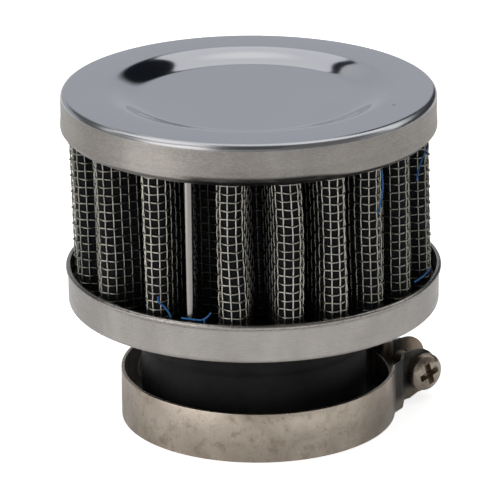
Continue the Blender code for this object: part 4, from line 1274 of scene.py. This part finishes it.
def spin_thread():
    """A closed tooth of the thread, spun along the screw, and the core inside it with its tapered end."""
    bm = bmesh.new()
    tooth = bm.faces.new([bm.verts.new((radius, 0.0, height)) for radius, height in THREAD_TOOTH])
    count = round((SCREW_LENGTH - 0.8) / THREAD_PITCH * STEPS_A_TURN)
    bmesh.ops.spin(
        bm,
        geom=[tooth],
        cent=(0.0, 0.0, 0.0),
        axis=(0.0, 0.0, 1.0),
        dvec=(0.0, 0.0, -THREAD_PITCH / STEPS_A_TURN),
        angle=math.tau * count / STEPS_A_TURN,
        steps=count,
    )
    bmesh.ops.translate(bm, verts=bm.verts, vec=(0.0, 0.0, -0.45))
    for low, radius, depth in ((0.0, 1.2, 0.5), (0.5, THREAD_CORE, SCREW_LENGTH - 0.9)):
        sizes = {"radius1": radius, "radius2": THREAD_CORE, "depth": depth}
        made = bmesh.ops.create_cone(bm, cap_ends=True, segments=32, **sizes)["verts"]
        bmesh.ops.translate(bm, verts=made, vec=(0.0, 0.0, low + depth / 2 - SCREW_LENGTH))
    bmesh.ops.recalc_face_normals(bm, faces=bm.faces)
    on_screw(bm, head_seat)
    return mesh_of(bm, "screw_thread")


ride_piece("screw_thread", spin_thread(), screw_finish, crease=35.0)

# %% Ease the nut's edges
NUT_SIZE = (6.0, 6.0, 3.0)
nut_at = NEAR_EAR_AT + EAR_SPACING + BAND_THICK / 2 + 0.3 + NUT_SIZE[2] / 2
bm = bmesh.new()
bmesh.ops.create_cube(bm, size=1.0)
bmesh.ops.scale(bm, vec=NUT_SIZE, verts=bm.verts)
bmesh.ops.bevel(bm, geom=list(bm.edges), offset=0.35, segments=3, profile=0.5, affect="EDGES", material=-1)
on_screw(bm, nut_at)
nut_mesh = drilled(put_in_scene("nut", mesh_of(bm, "nut")), drill(2.05), "square_nut")
ride_piece("square_nut", nut_mesh, screw_finish, "clamp_nut", crease=35.0)

# %% [markdown]
# ## Resin rings
#
# The resin is black, cast soft and only seen where it meets the pleats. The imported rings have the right
# shape, so they only get a finish: a skin with a little gloss, uneven where it crept up the wires.

# %% Finish of the resin
resin_finish, tree, shader = new_finish("cast_resin", (0.008, 0.008, 0.009), 0.5, 0.0)
creep = noise(tree, 700.0, 700.0, 4.0, 0.6)
fill(shader, {"Base Color": mottle(tree, creep, 0.4, 0.7, (0.006, 0.006, 0.007), (0.014, 0.015, 0.017))})
fill(shader, {"Roughness": spread(tree, creep, 0.3, 0.7, 0.35, 0.6)})
raise_bumps(tree, shader, creep, 0.15, 0.6)
for node in ("cap_resin_ring", "base_resin_ring"):
    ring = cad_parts[node]
    ring.data.materials.clear()
    ring.data.materials.append(resin_finish)
    print(node, "is finished with", resin_finish.name)

# %% [markdown]
# ## Loose blue threads
#
# A few threads of the gauze were caught when the cloth was cut. They are a little thicker than the wires, lie
# on the cloth and curl where they end. Each is a curve through a few points, rounded between them.

# %% Finish and place of the threads
THREAD_WIDTH = 0.34
THREADS = (
    (
        (-17.3, -29.9, 34.4),
        (-17.2, -30.1, 33.4),
        (-16.1, -30.7, 32.6),
        (-15.3, -31.1, 31.6),
        (-15.0, -31.1, 30.8),
    ),
    ((-8.9, -33.3, 31.2), (-8.95, -33.4, 30.3), (-8.9, -33.4, 29.7)),
    (
        (-13.1, -31.7, 30.9),
        (-11.6, -32.5, 31.0),
        (-9.6, -33.1, 31.0),
        (-8.5, -33.4, 31.6),
        (-7.7, -33.6, 32.6),
    ),
    ((23.2, -24.9, 56.7), (23.4, -24.9, 53.3), (22.9, -25.4, 49.8), (22.5, -25.8, 48.7)),
    ((32.2, -10.4, 56.4), (30.9, -14.0, 54.9), (30.15, -15.7, 53.0), (29.9, -16.3, 51.6)),
    ((29.7, -16.8, 32.1), (31.4, -13.3, 31.9), (32.9, -9.0, 31.8)),
)
thread_finish, tree, shader = new_finish("blue_thread", (0.02, 0.13, 0.42), 0.7, 0.0)
twist = noise(tree, 3000.0, 3000.0, 2.0)
fill(shader, {"Base Color": mottle(tree, twist, 0.3, 0.7, (0.004, 0.06, 0.2), (0.012, 0.12, 0.33))})


def smooth_line(points, steps=6):
    """Rounds a line of a few points through all of them."""
    spots = [Vector(point) for point in points]
    spots = [spots[0] * 2 - spots[1]] + spots + [spots[-1] * 2 - spots[-2]]
    line = []
    for a, b, c, d in zip(spots, spots[1:], spots[2:], spots[3:]):
        for step in range(steps):
            t = step / steps
            bend = (2 * a - 5 * b + 4 * c - d) * t**2 + (3 * b - a - 3 * c + d) * t**3
            line.append(0.5 * (2 * b + (c - a) * t + bend))
    return line + [spots[-2]]


thread_lines = [smooth_line(points) for points in THREADS]
wire_curves("blue_threads", thread_lines, thread_finish, cyclic=False, thickness=THREAD_WIDTH)
